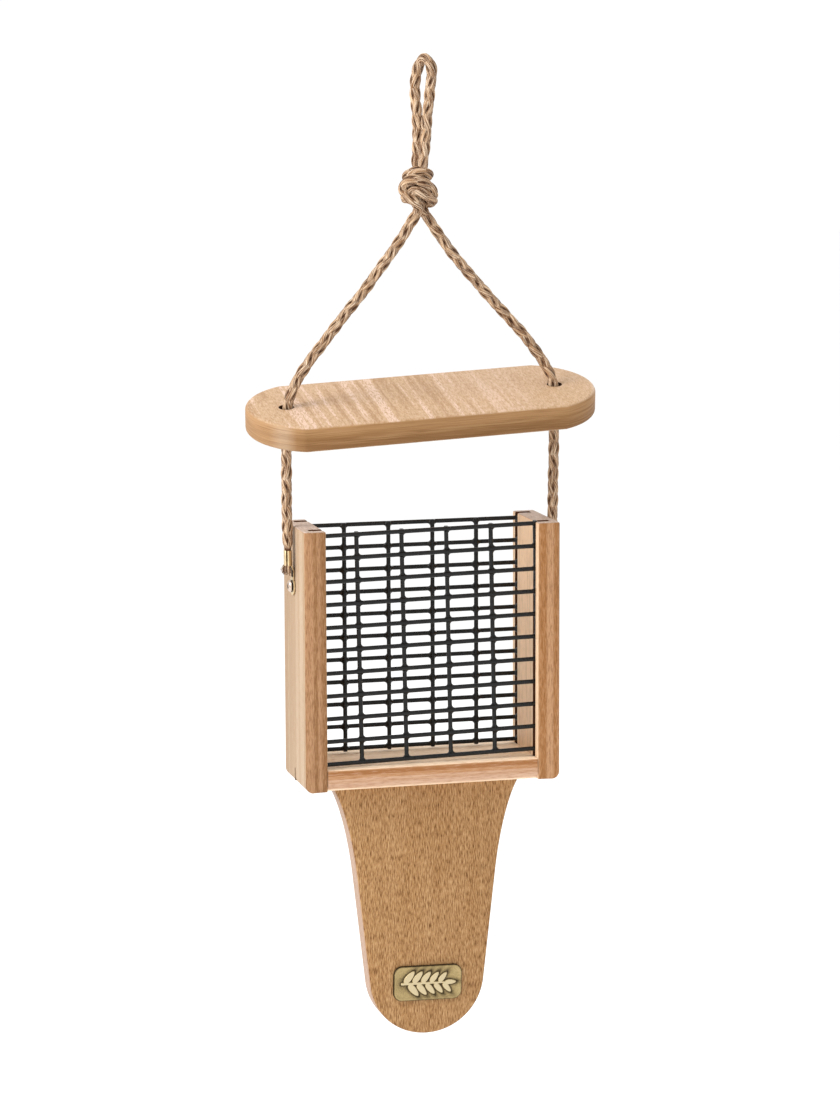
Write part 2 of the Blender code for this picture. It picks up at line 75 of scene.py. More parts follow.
# Wire grids.
VISUAL_WIRE_R = 1.26 * MM
FILLET_R = 1.15 * MM
ROW_PITCH = 12.7 * MM
COLUMN_PITCH = 25.4 * MM
ROWS = 11
COLUMNS = 6
ROW_Y = 18.7 * MM
COLUMN_Y = 16.8 * MM
ROW_OVERHANG = 1.2 * MM
COLUMN_OVERHANG = 1.35 * MM
WEB_HALF_THICK = 0.8 * MM
MELT_VOXEL = 0.45 * MM
FRONT_GRID_X = -4.6 * MM
FRONT_GRID_Z = -315.5 * MM
FRONT_GRID_LEAN = math.radians(1.13)
BACK_GRID_X = -4.7 * MM
BACK_GRID_Z = -316.4 * MM

# Tail, badge and lid.
TAIL_FRONT = -9.5 * MM
TAIL_BACK = 3.0 * MM
TAIL_FLARE = ((0.0545, -0.3946), (0.0485, -0.4035), (0.0430, -0.4235), (0.0402, -0.4475))
TAIL_FOOT_R = 33.3 * MM
TAIL_FOOT_Z = -507.0 * MM
TAIL_EDGE_ROUND = 1.0 * MM
BADGE_Z = -510.5 * MM
BADGE_LEAN = math.radians(1.2)
LID_LENGTH = 196.4 * MM
LID_WIDTH = 73.0 * MM
LID_T = 14.0 * MM
LID_END_R = 39.0 * MM
LID_EDGE_ROUND = 2.3 * MM
LID_CENTRE = Vector((-2.4 * MM, 0.0, -186.8 * MM))
LID_TIP = math.radians(13.22)
LID_AXIS_TURN = math.radians(13.43)
LID_AXIS = Vector((math.cos(LID_AXIS_TURN), -math.sin(LID_AXIS_TURN), 0.0))
LID_HOLE_R = 4.1 * MM
LID_HOLE_X = 76.2 * MM

# Rope and lugs.
LUG_X = BODY_X - 76.2 * MM
LUG_Y = -2.0 * MM
BARREL_TOP = -262.5 * MM
BARREL_FOOT = -270.9 * MM
RING_Z = -282.8 * MM
RING_R = 5.0 * MM
RING_HOLE_R = 2.1 * MM
CRIMP_HALF_X = 1.85 * MM
CRIMP_HALF_Y = 3.15 * MM
CRIMP_ENTRY_Z = -264.5 * MM
CRIMP_EXIT_Z = -270.5 * MM
CRIMP_EASE = 4.0 * MM

# Camera: the photograph's viewing angle.
CAMERA_TARGET = Vector((-0.0036, 0.0, -0.2716))
CAMERA_AZIMUTH = math.radians(-14.753)
CAMERA_ELEVATION = math.radians(8.999)
CAMERA_ROLL = math.radians(-0.2)
CAMERA_DISTANCE = 1.8526
CAMERA_LENS = 107.49
CAMERA_SENSOR = 36.0

SCENE_CENTRE = (0.0, 0.0, -0.3)
WORLD_STRENGTH = 1.04
STUDIO_FLOOR_Z = -0.85

SIDE_NAME = {-1: "left", 1: "right"}
SHARP_ANGLE = 35
SAME_PLACE = 1e-6


# ---- camera, light and floor


def add_to_scene(name, data):
    obj = bpy.data.objects.new(name, data)
    bpy.context.scene.collection.objects.link(obj)
    return obj


def add_camera():
    azimuth, elevation = CAMERA_AZIMUTH, CAMERA_ELEVATION
    level = math.cos(elevation)
    back = Vector((math.sin(azimuth) * level, -math.cos(azimuth) * level, math.sin(elevation)))
    right = Vector((math.cos(azimuth), math.sin(azimuth), 0.0))
    up = back.cross(right)
    x_axis = math.cos(CAMERA_ROLL) * right + math.sin(CAMERA_ROLL) * up
    y_axis = back.cross(x_axis)
    data = bpy.data.cameras.new("camera")
    data.lens = CAMERA_LENS
    data.sensor_width = CAMERA_SENSOR
    data.clip_end = 100.0
    camera = add_to_scene("camera", data)
    matrix = Matrix((x_axis, y_axis, back)).transposed().to_4x4()
    camera.matrix_world = Matrix.Translation(CAMERA_TARGET + CAMERA_DISTANCE * back) @ matrix
    bpy.context.scene.camera = camera


def add_area_light(name, place, target, size, power):
    data = bpy.data.lights.new(name, "AREA")
    data.shape = "DISK"
    data.size = size
    data.energy = power
    light = add_to_scene(name, data)
    direction = Vector(target) - Vector(place)
    light.location = place
    light.rotation_euler = direction.to_track_quat("-Z", "Y").to_euler()
    light.visible_camera = False


def add_surroundings():
    world = bpy.data.worlds.new("studio")
    world.use_nodes = True
    background = world.node_tree.nodes["Background"]
    background.inputs["Color"].default_value = (1.0, 1.0, 1.0, 1.0)
    background.inputs["Strength"].default_value = WORLD_STRENGTH
    bpy.context.scene.world = world
    bpy.context.scene.view_settings.view_transform = "Standard"
    add_area_light("key", (-2.2, -0.5, 1.0), SCENE_CENTRE, size=1.7, power=58.0)
    add_area_light("rim", (1.4, 1.6, 0.5), SCENE_CENTRE, size=1.0, power=12.0)
    bm = bmesh.new()
    bmesh.ops.create_grid(bm, x_segments=2, y_segments=2, size=12.0)
    floor = new_object("floor", bm, plain_material("floor", (0.97, 0.97, 0.97), 0.9))
    floor.location = (0.0, 0.0, STUDIO_FLOOR_Z)


# ---- mesh helpers


def shade_by_angle(mesh, degrees=SHARP_ANGLE):
    """Smooth shading, except over the edges sharper than that angle."""
    mesh.shade_smooth()
    mesh.set_sharp_from_angle(angle=math.radians(degrees))


def new_object(name, bm, material=None, place=None, smooth_angle=None):
    """Turn a bmesh into an object; smooth_angle, in degrees, shades it smooth."""
    bmesh.ops.recalc_face_normals(bm, faces=bm.faces)
    mesh = bpy.data.meshes.new(name)
    bm.to_mesh(mesh)
    bm.free()
    if smooth_angle is not None:
        shade_by_angle(mesh, smooth_angle)
    obj = add_to_scene(name, mesh)
    if material is not None:
        mesh.materials.append(material)
    if place is not None:
        obj.matrix_world = place
    return obj


def apply_modifiers(obj):
    """Replace the mesh by its evaluated form, so that no modifier is left."""
    bpy.context.view_layer.update()
    graph = bpy.context.evaluated_depsgraph_get()
    mesh = bpy.data.meshes.new_from_object(obj.evaluated_get(graph))
    obj.modifiers.clear()
    obj.data = mesh


def boolean(obj, bm, operation, place=None):
    """Cut or join one helper shape and apply it."""
    helper = new_object("helper", bm, None, place)
    modifier = obj.modifiers.new("boolean", "BOOLEAN")
    modifier.operation = operation
    modifier.solver = "EXACT"
    modifier.object = helper
    apply_modifiers(obj)
    bpy.data.objects.remove(helper, do_unlink=True)


def box(low, high):
    bm = bmesh.new()
    size = Vector(high) - Vector(low)
    matrix = Matrix.Translation((Vector(low) + Vector(high)) / 2) @ Matrix.Diagonal((*size, 1.0))
    bmesh.ops.create_cube(bm, size=1.0, matrix=matrix)
    return bm


def prism(outline, along, low, high):
    """Extrude a flat outline along X, Y or Z, from low to high."""
    bm = bmesh.new()
    axis = "XYZ".index(along)
    face = bm.faces.new([bm.verts.new((*point[:axis], low, *point[axis:])) for point in outline])
    step = Vector((0.0, 0.0, 0.0))
    step[axis] = high - low
    grown = bmesh.ops.extrude_face_region(bm, geom=[face])
    moved = [item for item in grown["geom"] if isinstance(item, bmesh.types.BMVert)]
    bmesh.ops.translate(bm, verts=moved, vec=step)
    return bm


def round_edges(bm, test, radius, segments):
    """Round the sharp edges whose two ends pass the test."""
    bmesh.ops.recalc_face_normals(bm, faces=bm.faces)
    sharp = [edge for edge in bm.edges if edge.calc_face_angle(0.0) > math.radians(30)]
    edges = [edge for edge in sharp if test(*(vert.co for vert in edge.verts))]
    bmesh.ops.bevel(bm, geom=edges, offset=radius, segments=segments, profile=0.5, affect="EDGES")


def arc(centre, radius, start, end, count):
    """Flat points on an arc; the angles are in degrees."""
    points = []
    for index in range(count + 1):
        angle = math.radians(start + (end - start) * index / count)
        points.append((centre[0] + radius * math.cos(angle), centre[1] + radius * math.sin(angle)))
    return points


def cylinder(radius, length, sides, axis, centre):
    bm = bmesh.new()
    turn = {
        "X": Matrix.Rotation(math.radians(90), 4, "Y"),
        "Y": Matrix.Rotation(math.radians(90), 4, "X"),
        "Z": Matrix.Identity(4),
    }[axis]
    matrix = Matrix.Translation(centre) @ turn
    bmesh.ops.create_cone(
        bm, cap_ends=True, segments=sides, radius1=radius, radius2=radius, depth=length, matrix=matrix
    )
    return bm


def merge(target, *sources):
    """Add the sources to the target."""
    for source in sources:
        mesh = bpy.data.meshes.new("scratch")
        source.to_mesh(mesh)
        source.free()
        target.from_mesh(mesh)
        bpy.data.meshes.remove(mesh)


def half_turn(side):
    """Nothing for the left side; half a turn about the body's upright axis for the right side."""
    if side < 0:
        return Matrix.Identity(4)
    return Matrix.Translation((2 * BODY_X, 0.0, 0.0)) @ Matrix.Rotation(math.pi, 4, "Z")


# ---- materials


class Nodes:
    """A small wrapper for building a material's node tree."""

    def __init__(self, name):
        self.material = bpy.data.materials.new(name)
        self.material.use_nodes = True
        self.tree = self.material.node_tree
        self.shader = self.tree.nodes["Principled BSDF"]

    def add(self, kind, **settings):
        node = self.tree.nodes.new(kind)
        for key, value in settings.items():
            if key in node.inputs:
                node.inputs[key].default_value = value
            else:
                setattr(node, key, value)
        return node

    def link(self, output, target):
        self.tree.links.new(output, target)

    def coordinates(self, *scale):
        """The object's own coordinates, scaled alike on all axes or by one number for each."""
        texture = self.add("ShaderNodeTexCoord")
        mapping = self.add("ShaderNodeMapping")
        mapping.inputs["Scale"].default_value = scale * 3 if len(scale) == 1 else scale
        self.link(texture.outputs["Object"], mapping.inputs["Vector"])
        return mapping.outputs["Vector"]

    def axes(self, kind="Object"):
        """X, Y and Z of the place on the object, or of its normal."""
        texture = self.add("ShaderNodeTexCoord")
        split = self.add("ShaderNodeSeparateXYZ")
        self.link(texture.outputs[kind], split.inputs["Vector"])
        return split.outputs

    def attribute(self, name):
        return self.add("ShaderNodeAttribute", attribute_name=name).outputs["Fac"]

    def noise(self, vector, detail=4.0, roughness=0.55):
        node = self.add("ShaderNodeTexNoise", Scale=1.0, Detail=detail, Roughness=roughness)
        self.link(vector, node.inputs["Vector"])
        return node.outputs["Fac"]

    def ramp(self, value, *stops):
        """Stops are (position, colour) or (position, grey value)."""
        node = self.add("ShaderNodeValToRGB")
        elements = node.color_ramp.elements
        while len(elements) < len(stops):
            elements.new(0.5)
        for element, (position, colour) in zip(elements, stops):
            element.position = position
            red_green_blue = colour if isinstance(colour, tuple) else (colour,) * 3
            element.color = (*red_green_blue, 1.0)
        self.link(value, node.inputs["Fac"])
        return node.outputs["Color"]

    def mix(self, factor, first, second, blend="MIX"):
        node = self.add("ShaderNodeMix", data_type="RGBA", blend_type=blend)
        sockets = (node.inputs["Factor"], node.inputs[6], node.inputs[7])
        for socket, value in zip(sockets, (factor, first, second)):
            if isinstance(value, bpy.types.NodeSocket):
                self.link(value, socket)
            elif isinstance(value, (int, float)):
                socket.default_value = value
            else:
                socket.default_value = (*value, 1.0)
        return node.outputs[2]

    def math(self, operation, first, second=0.0, clamp=False):
        node = self.add("ShaderNodeMath", operation=operation, use_clamp=clamp)
        for socket, value in zip(node.inputs, (first, second)):
            if isinstance(value, bpy.types.NodeSocket):
                self.link(value, socket)
            else:
                socket.default_value = value
        return node.outputs["Value"]

    def times(self, first, second):
        return self.math("MULTIPLY", first, second)

    def plus(self, first, second):
        return self.math("ADD", first, second)

    def minus(self, first, second):
        return self.math("SUBTRACT", first, second)

    def surface(self, colour, roughness, specular=0.5, metallic=0.0):
        """Link the colour and roughness, and set the uniform reflection values."""
        inputs = self.shader.inputs
        self.link(colour, inputs["Base Color"])
        self.link(roughness, inputs["Roughness"])
        inputs["Specular IOR Level"].default_value = specular
        inputs["Metallic"].default_value = metallic

    def bump(self, height, strength, distance):
        node = self.add("ShaderNodeBump", Strength=strength, Distance=distance)
        self.link(height, node.inputs["Height"])
        self.link(node.outputs["Normal"], self.shader.inputs["Normal"])

    def facing(self, axis):
        """How far the surface faces along one of the object's own axes, from 0 to 1."""
        return self.math("ABSOLUTE", self.axes("Normal")[axis])


def plain_material(name, colour, roughness):
    nodes = Nodes(name)
    nodes.shader.inputs["Base Color"].default_value = (*colour, 1.0)
    nodes.shader.inputs["Roughness"].default_value = roughness
    return nodes.material


def paint(red, green, blue, light=1.0):
    """The surface colour that looks like these display values under that much light."""
    values = []
    for value in (red, green, blue):
        value /= 255
        linear = value / 12.92 if value <= 0.04045 else ((value + 0.055) / 1.055) ** 2.4
        values.append(linear / light)
    return tuple(values)


def stretched(nodes, grain, along, across):
    """Object coordinates drawn out along the grain's axis or axes."""
    return nodes.coordinates(*(along if axis in grain else across for axis in "XYZ"))


def lumber_layer(
    nodes, grain, base, dark, light, speckle, streaks, stripes=(), fade=None, fineness=(180.0, 1700.0)
):
    """One face of plastic lumber: drawn streaks, broad stripes and fine grains, dark and light.

    stripes are (axis, centre, half width, soft edge, colour, amount) in the object's own metres.
    fade is (axis, start, end): the streaks die away from start to end.
    """
    fine = nodes.noise(stretched(nodes, grain, *fineness), detail=3.0, roughness=0.65)
    streak = nodes.noise(stretched(nodes, grain, 8.0, 230.0), detail=4.0, roughness=0.6)
    broad = nodes.noise(stretched(nodes, grain, 9.0, 60.0), detail=2.0)
    patches = nodes.ramp(broad, (0.40, 0.0), (0.62, 0.35))
    colour = nodes.mix(patches, base, nodes.mix(0.35, base, light))
    place = nodes.axes()
    for axis, centre, half, soft, stripe, amount in stripes:
        away = nodes.math("ABSOLUTE", nodes.minus(place[axis], centre))
        inside = nodes.math("DIVIDE", nodes.minus(half + soft, away), soft, clamp=True)
        colour = nodes.mix(nodes.times(inside, amount), colour, stripe)
    strength = streaks
    if fade is not None:
        axis, start, end = fade
        along = nodes.minus(place[axis], end)
        strength = nodes.times(nodes.math("DIVIDE", along, start - end, clamp=True), streaks)
    broken = nodes.ramp(fine, (0.38, 0.25), (0.54, 1.0))
    drawn = nodes.times(nodes.ramp(streak, (0.53, 0.0), (0.59, 1.0)), broken)
    colour = nodes.mix(nodes.times(drawn, strength), colour, light)
    drawn = nodes.ramp(streak, (0.38, 1.0), (0.46, 0.0))
    colour = nodes.mix(nodes.times(drawn, nodes.times(strength, 0.6)), colour, dark)
    grains = nodes.ramp(fine, (0.36, 1.0), (0.50, 0.0))
    colour = nodes.mix(nodes.times(grains, speckle), colour, dark)
    grains = nodes.ramp(fine, (0.52, 0.0), (0.66, 1.0))
    return nodes.mix(nodes.times(grains, speckle * 0.7), colour, light), fine


def lumber_material(name, base_layer, *other_layers, kerfs=None, holes=None):
    """Plastic lumber with its own look on the faces along each axis of the object.

    Each layer is (axis, settings for lumber_layer); the first one lies under the others.
    """
    nodes = Nodes(name)
    colour, fine = lumber_layer(nodes, **base_layer[1])
    for axis, settings in other_layers:
        layer, _ = lumber_layer(nodes, **settings)
        facing = nodes.ramp(nodes.facing("XYZ".index(axis)), (0.60, 0.0), (0.88, 1.0))
        colour = nodes.mix(facing, colour, layer)
    # kerfs: painted shade, a dark colour on the walls of the saw kerfs.
    if kerfs is not None:
        near, far, reach, shade = kerfs
        place = nodes.axes()
        depth = nodes.math("ABSOLUTE", place["Y"])
        in_band = nodes.math("COMPARE", depth, (near + far) / 2)
        in_band.node.inputs[2].default_value = (far - near) / 2 + 0.1 * MM
        out = nodes.math("ABSOLUTE", nodes.minus(place["X"], BODY_X))
        in_reach = nodes.math("LESS_THAN", out, reach)
        colour = nodes.mix(nodes.times(in_band, in_reach), colour, shade)
    # holes: painted shade inside the lid's holes and on a thin rim round them.
    if holes is not None:
        across, radius, shade = holes
        place = nodes.axes()
        out = nodes.minus(nodes.math("ABSOLUTE", place["X"]), across)
        squares = nodes.plus(nodes.times(out, out), nodes.times(place["Y"], place["Y"]))
        in_hole = nodes.math("LESS_THAN", nodes.math("SQRT", squares), radius + 0.15 * MM)
        colour = nodes.mix(in_hole, colour, shade)
    nodes.surface(colour, nodes.ramp(fine, (0.3, 0.66), (0.7, 0.50)), specular=0.2)
    nodes.bump(fine, 0.45, 0.0004)
    return nodes.material


def board_materials():
    """The looks of the side boards, floor board, tail and lid."""
    left_x = BODY_X - OUTER_HALF
    right_x = BODY_X + INNER_HALF
    golden = paint(166, 118, 73, 1.4)
    bright = paint(214, 163, 118, 1.4)
    deep = paint(182, 124, 70, 1.4)
    front = dict(
        grain="Z",
        base=paint(193, 144, 102, 1.42),
        dark=paint(128, 80, 42, 1.42),
        light=paint(232, 184, 142, 1.42),
        speckle=0.5,
        streaks=0.13,
        fineness=(230.0, 2100.0),
        stripes=(
            # The first stripe is a painted highlight along the left board's outer front edge.
            ("X", left_x + 2.2 * MM, 1.2 * MM, 1.5 * MM, bright, 0.2),
            ("X", left_x + 6.2 * MM, 0.6 * MM, 0.8 * MM, golden, 0.9),
            ("X", left_x + 11.2 * MM, 1.3 * MM, 1.4 * MM, golden, 0.95),
            ("X", right_x + 3.0 * MM, 1.4 * MM, 1.4 * MM, deep, 0.9),
            ("X", right_x + 6.9 * MM, 1.2 * MM, 1.2 * MM, bright, 0.75),
            ("X", right_x + 10.2 * MM, 0.7 * MM, 1.0 * MM, deep, 0.85),
        ),
    )
    side = dict(
        grain="Z",
        base=paint(226, 190, 152, 2.05),
        dark=paint(196, 154, 112, 2.05),
        light=paint(248, 219, 184, 2.05),
        speckle=0.4,
        streaks=0.4,
        stripes=(
            ("Y", 25.0 * MM, 8.0 * MM, 26.0 * MM, paint(206, 169, 132, 2.05), 0.8),
            ("Y", -17.5 * MM, 2.5 * MM, 3.0 * MM, paint(242, 211, 178, 2.0), 0.8),
            ("Y", -6.0 * MM, 1.5 * MM, 3.0 * MM, paint(240, 209, 178, 2.0), 0.6),
            # Painted light: the inner faces are painted about twice as pale as the outer faces, so that they
            # look as brightly lit as those.
            ("X", BODY_X, INNER_HALF + 3.0 * MM, 0.5 * MM, paint(226, 191, 156, 0.95), 1.0),
        ),
    )
    top = dict(
        grain="Y",
        base=paint(216, 192, 174, 1.45),
        dark=paint(176, 138, 108, 1.45),
        light=paint(240, 220, 206, 1.45),
        speckle=0.55,
        streaks=0.3,
    )
    # Painted shade for the saw kerfs.
    kerfs = (KERF_NEAR, KERF_FAR, INNER_HALF + KERF_DEEP + 0.1 * MM, paint(96, 56, 30, 1.2))
    sides = lumber_material("lumber_sides", ("Y", front), ("X", side), ("Z", top), kerfs=kerfs)

    floor_front = dict(
        grain="X",
        base=paint(226, 183, 152, 1.32),
        dark=paint(170, 116, 74, 1.35),
        light=paint(242, 204, 174, 1.35),
        speckle=0.4,
        streaks=0.3,
        stripes=(
            ("Z", FLOOR_TOP - 2.4 * MM, 2.4 * MM, 0.8 * MM, paint(204, 150, 104, 1.35), 0.95),
            ("Z", FLOOR_TOP - 1.9 * MM, 0.9 * MM, 0.5 * MM, paint(176, 116, 66, 1.35), 0.95),
            ("Z", FLOOR_TOP - 6.6 * MM, 0.3 * MM, 0.8 * MM, paint(210, 162, 122, 1.35), 0.6),
        ),
    )
    # Painted light: the floor board's top is painted far paler than the lumber's other faces, standing in
    # for light from above.
    floor_top = dict(
        grain="X",
        base=paint(228, 201, 170, 0.82),
        dark=paint(176, 132, 92, 0.85),
        light=paint(240, 220, 196, 0.85),
        speckle=0.5,
        streaks=0.3,
    )
    floor_wood = lumber_material("lumber_floor", ("Y", floor_front), ("Z", floor_top))

    tail_front = dict(
        grain="Z",
        base=paint(184, 136, 85, 1.33),
        dark=paint(118, 76, 36, 1.33),
        light=paint(226, 184, 134, 1.33),
        speckle=1.0,
        streaks=0.15,
        fineness=(250.0, 2200.0),
    )
    tail_side = dict(
        grain="Z",
        base=paint(216, 181, 156, 1.8),
        dark=paint(184, 144, 114, 1.8),
        light=paint(240, 211, 190, 1.8),
        speckle=0.35,
        streaks=0.25,
    )
    tail_wood = lumber_material("lumber_tail", ("X", tail_side), ("Y", tail_front))

    lid_edge = dict(
        grain="XY",
        base=paint(164, 118, 70, 1.45),
        dark=paint(118, 76, 38, 1.45),
        light=paint(206, 162, 114, 1.45),
        speckle=0.35,
        streaks=0.3,
        fineness=(30.0, 1500.0),
        stripes=(
            # The edge is lighter near its top and darker towards its bottom. Painted light: the X stripes
            # give the bowed left end a paler band where the key lamp falls, and a painted whitish highlight
            # on it.
            ("Z", 5.2 * MM, 1.8 * MM, 3.0 * MM, paint(188, 143, 95, 1.4), 0.85),
            ("Z", -7.0 * MM, 4.0 * MM, 5.0 * MM, paint(148, 104, 60, 1.45), 0.85),
            ("X", -99.0 * MM, 15.0 * MM, 12.0 * MM, paint(194, 151, 107, 1.5), 0.7),
            ("X", -84.5 * MM, 1.5 * MM, 5.0 * MM, paint(226, 200, 172, 1.5), 0.4),
        ),
    )
    lid_top = dict(
        grain="Y",
        base=paint(221, 183, 143, 1.45),
        dark=paint(178, 132, 86, 1.45),
        light=paint(252, 219, 196, 1.42),
        speckle=0.55,
        streaks=0.85,
        fade=("X", 0.0, 80.0 * MM),
        fineness=(300.0, 1600.0),
    )
    # Painted shade inside the lid's holes.
    holes = (LID_HOLE_X, LID_HOLE_R, paint(74, 44, 22, 1.2))
    lid_wood = lumber_material("lumber_lid", ("Y", lid_edge), ("Z", lid_top), holes=holes)
    return sides, floor_wood, tail_wood, lid_wood


def wire_material():
    """Black vinyl coating: glossy, with slow waves and small pits left by dipping."""
    nodes = Nodes("coated_wire")
    waves = nodes.noise(nodes.coordinates(240.0), detail=2.0)
    pits = nodes.noise(nodes.coordinates(1500.0), detail=2.0)
    colour = nodes.ramp(waves, (0.3, (0.003, 0.003, 0.003)), (0.7, (0.008, 0.008, 0.008)))
    nodes.surface(colour, nodes.ramp(pits, (0.3, 0.36), (0.7, 0.20)), specular=0.29)
    nodes.bump(nodes.plus(waves, nodes.times(pits, 0.25)), 0.5, 0.0005)
    return nodes.material


def rope_material():
    """Straw-coloured braided yarn: fibre bundles drawn along each strand, with painted shade in the creases
    and pale fibre streaks that are partly painted highlights.
    """
    nodes = Nodes("rope_fibre")
    coordinates = nodes.add("ShaderNodeUVMap", uv_map="strand")
    split = nodes.add("ShaderNodeSeparateXYZ")
    nodes.link(coordinates.outputs["UV"], split.inputs["Vector"])
    around, along = split.outputs["X"], split.outputs["Y"]

    def strand_noise(across, length, skew, detail):
        turned = nodes.plus(nodes.times(around, across), nodes.times(along, skew))
        joined = nodes.add("ShaderNodeCombineXYZ")
        nodes.link(turned, joined.inputs["X"])
        nodes.link(nodes.times(along, length), joined.inputs["Y"])
        return nodes.noise(joined.outputs["Vector"], detail=detail, roughness=0.7)

    bundles = strand_noise(10.0, 60.0, 160.0, 2.0)
    fibres = strand_noise(30.0, 90.0, 480.0, 3.0)
    tones = strand_noise(0.8, 60.0, 0.0, 2.0)
    brown = paint(132, 90, 52, 1.15)
    straw = paint(204, 166, 128, 1.15)
    colour = nodes.mix(nodes.ramp(tones, (0.36, 0.0), (0.62, 1.0)), brown, straw)
    colour = nodes.mix(nodes.ramp(bundles, (0.41, 0.95), (0.53, 0.0)), colour, paint(84, 46, 20))
    # Pale fibre streaks: partly the yarn's own pale fibres, partly painted highlights.
    pale = paint(255, 232, 202)
    colour = nodes.mix(nodes.ramp(fibres, (0.50, 0.0), (0.62, 0.85)), colour, pale)
    # Painted shade: a low crown value darkens the rope, in the creases and wherever the mesh marks it.
    crease = nodes.ramp(nodes.attribute("crown"), (0.22, (0.20, 0.095, 0.035)), (0.64, 1.0))
    colour = nodes.mix(0.95, colour, crease, "MULTIPLY")
    nodes.surface(colour, nodes.ramp(fibres, (0.3, 0.8), (0.7, 0.5)), specular=0.2)
    nodes.bump(nodes.plus(bundles, nodes.times(fibres, 0.5)), 0.8, 0.0006)
    return nodes.material


def metal_material(name, colour, tarnish, roughness, metallic=1.0):
    """Plated or cast metal with patches of tarnish and fine scratches; the faces marked as deep shade are
    painted near black, as painted shade.
    """
    nodes = Nodes(name)
    patches = nodes.noise(nodes.coordinates(500.0), detail=4.0)
    scratches = nodes.noise(nodes.coordinates(300.0, 4000.0, 4000.0), detail=2.0)
    blend = nodes.times(nodes.ramp(patches, (0.45, 0.0), (0.65, 1.0)), 0.5)
    # Painted shade: the marked faces are mixed to near black and made rougher.
    painted_shade = nodes.attribute("painted_shade")
    shade = nodes.mix(painted_shade, nodes.mix(blend, colour, tarnish), (0.035, 0.018, 0.008))
    rough = nodes.ramp(patches, (0.3, roughness), (0.7, roughness + 0.18))
    rough = nodes.plus(rough, nodes.times(painted_shade, 0.5))
    nodes.surface(shade, rough, metallic=metallic)
    nodes.bump(scratches, 0.12, 0.0002)
    return nodes.material


def badge_material():
    """Antique brass: bright on the high spots, dark in the sunk field round the motif, with painted shade
    along the plate's rounded rim.
    """
    nodes = Nodes("antique_brass")
    grain = nodes.noise(nodes.coordinates(1500.0), detail=4.0)
    uneven = nodes.times(nodes.minus(grain, 0.5), 0.5)
    wear_and_rim_shade = nodes.plus(nodes.attribute("relief"), uneven)
    dark, middle, bright = (0.04, 0.026, 0.009), (0.42, 0.31, 0.14), (0.60, 0.50, 0.31)
    colour = nodes.ramp(wear_and_rim_shade, (0.16, dark), (0.60, middle), (0.96, bright))
    nodes.surface(colour, nodes.ramp(grain, (0.3, 0.42), (0.7, 0.58)), metallic=0.75)
    nodes.bump(grain, 0.35, 0.0003)
    return nodes.material


# ---- rope


def in_mm(*points):
    """Points given in millimetres, as metres; rounded, so that they are the CAD's own numbers."""
    return tuple(tuple(round(value * MM, 7) for value in point) for point in points)


# The same points as in the CAD, from one end of the rope to the other.
LOOP_ROUTE = in_mm(
    (-3.8, 3.1, -53.2), (-3.4, 3.0, -45.5), (-3.5, 2.8, -35.5), (-3.7, 2.8, -26.0),
    (-4.4, 3.5, -19.5), (-4.5, 4.0, -13.5), (-3.8, 4.0, -6.5), (-2.4, 3.0, -0.2),
    (0.0, 0.0, 3.1), (2.5, -3.0, -0.2), (2.8, -4.0, -6.5), (1.9, -4.0, -13.5),
    (1.4, -3.5, -19.5), (0.7, -2.8, -26.0), (0.0, -2.9, -35.5), (-1.0, -3.1, -45.5),
    (-2.0, -3.2, -53.2),
)
LEFT_LEG_ROUTE = in_mm(
    (-5.2, -3.2, -79.3), (-7.9, -3.1, -83.6), (-16.2, -2.8, -96.5), (-26.0, -2.6, -109.4),
    (-35.8, -2.4, -122.3), (-46.5, -2.2, -135.1), (-56.9, -2.0, -148.0), (-67.0, -1.9, -160.8),
    (-74.0, -1.8, -171.8), (-77.6, -1.5, -181.0), (-78.6, 0.3, -190.8),
)
RIGHT_LEG_ROUTE = in_mm(
    (-0.2, 3.2, -79.5), (3.3, 3.1, -84.6), (10.3, 2.8, -94.7), (17.7, 2.5, -104.6),
    (29.0, 2.1, -117.9), (40.9, 1.6, -131.3), (53.3, 0.9, -144.7), (62.7, 0.2, -156.5),
    (68.8, -0.8, -166.0), (72.6, -1.7, -175.0), (73.6, -0.6, -182.5),
)
LEFT_RUN_ROUTE = in_mm(
    (-78.6, 0.4, -191.6), (-78.3, 1.7, -198.5), (-78.4, 1.6, -207.0), (-78.8, 0.2, -228.0),
    (-79.0, -1.3, -248.0), (-79.0, -2.0, -259.4),
)
RIGHT_RUN_ROUTE = in_mm(
    (73.6, -0.5, -183.3), (74.1, 0.9, -190.5), (74.2, 1.5, -198.0), (74.2, 2.3, -222.0),
    (73.8, 2.4, -246.0), (73.4, 2.0, -259.4),
)
# Through the knot, from the neck up: each strand wraps round the core before it leaves at the top.
LEFT_KNOT_ROUTE = in_mm(
    (-4.8, -3.6, -76.5), (-7.2, -4.6, -73.8), (-10.8, -3.4, -70.8), (-12.4, -1.0, -67.0),
    (-11.2, -4.0, -63.0), (-6.5, -6.4, -61.8), (-0.8, -6.6, -64.4), (3.0, -4.0, -68.0),
    (4.2, 0.5, -70.5), (1.5, 5.6, -70.0), (-4.5, 6.4, -66.5), (-9.0, 4.0, -62.0),
    (-8.2, -0.5, -58.5), (-4.0, -4.2, -57.5), (0.8, -3.0, -59.0), (1.4, 1.0, -60.0),
    (-2.0, 3.0, -57.5),
)
RIGHT_KNOT_ROUTE = in_mm(
    (-1.4, 2.6, -76.0), (-3.4, 0.6, -72.5), (-7.5, -2.4, -69.5), (-7.5, -5.2, -67.5),
    (-3.5, -6.6, -68.8), (1.0, -5.8, -71.5), (3.6, -2.0, -73.8), (2.6, 3.2, -74.5),
    (-2.0, 5.6, -73.5), (-7.8, 4.6, -71.5), (-10.8, 1.0, -72.0), (-8.5, -2.2, -71.5),
    (-4.0, -1.0, -68.0), (-2.2, -2.0, -62.0),
)

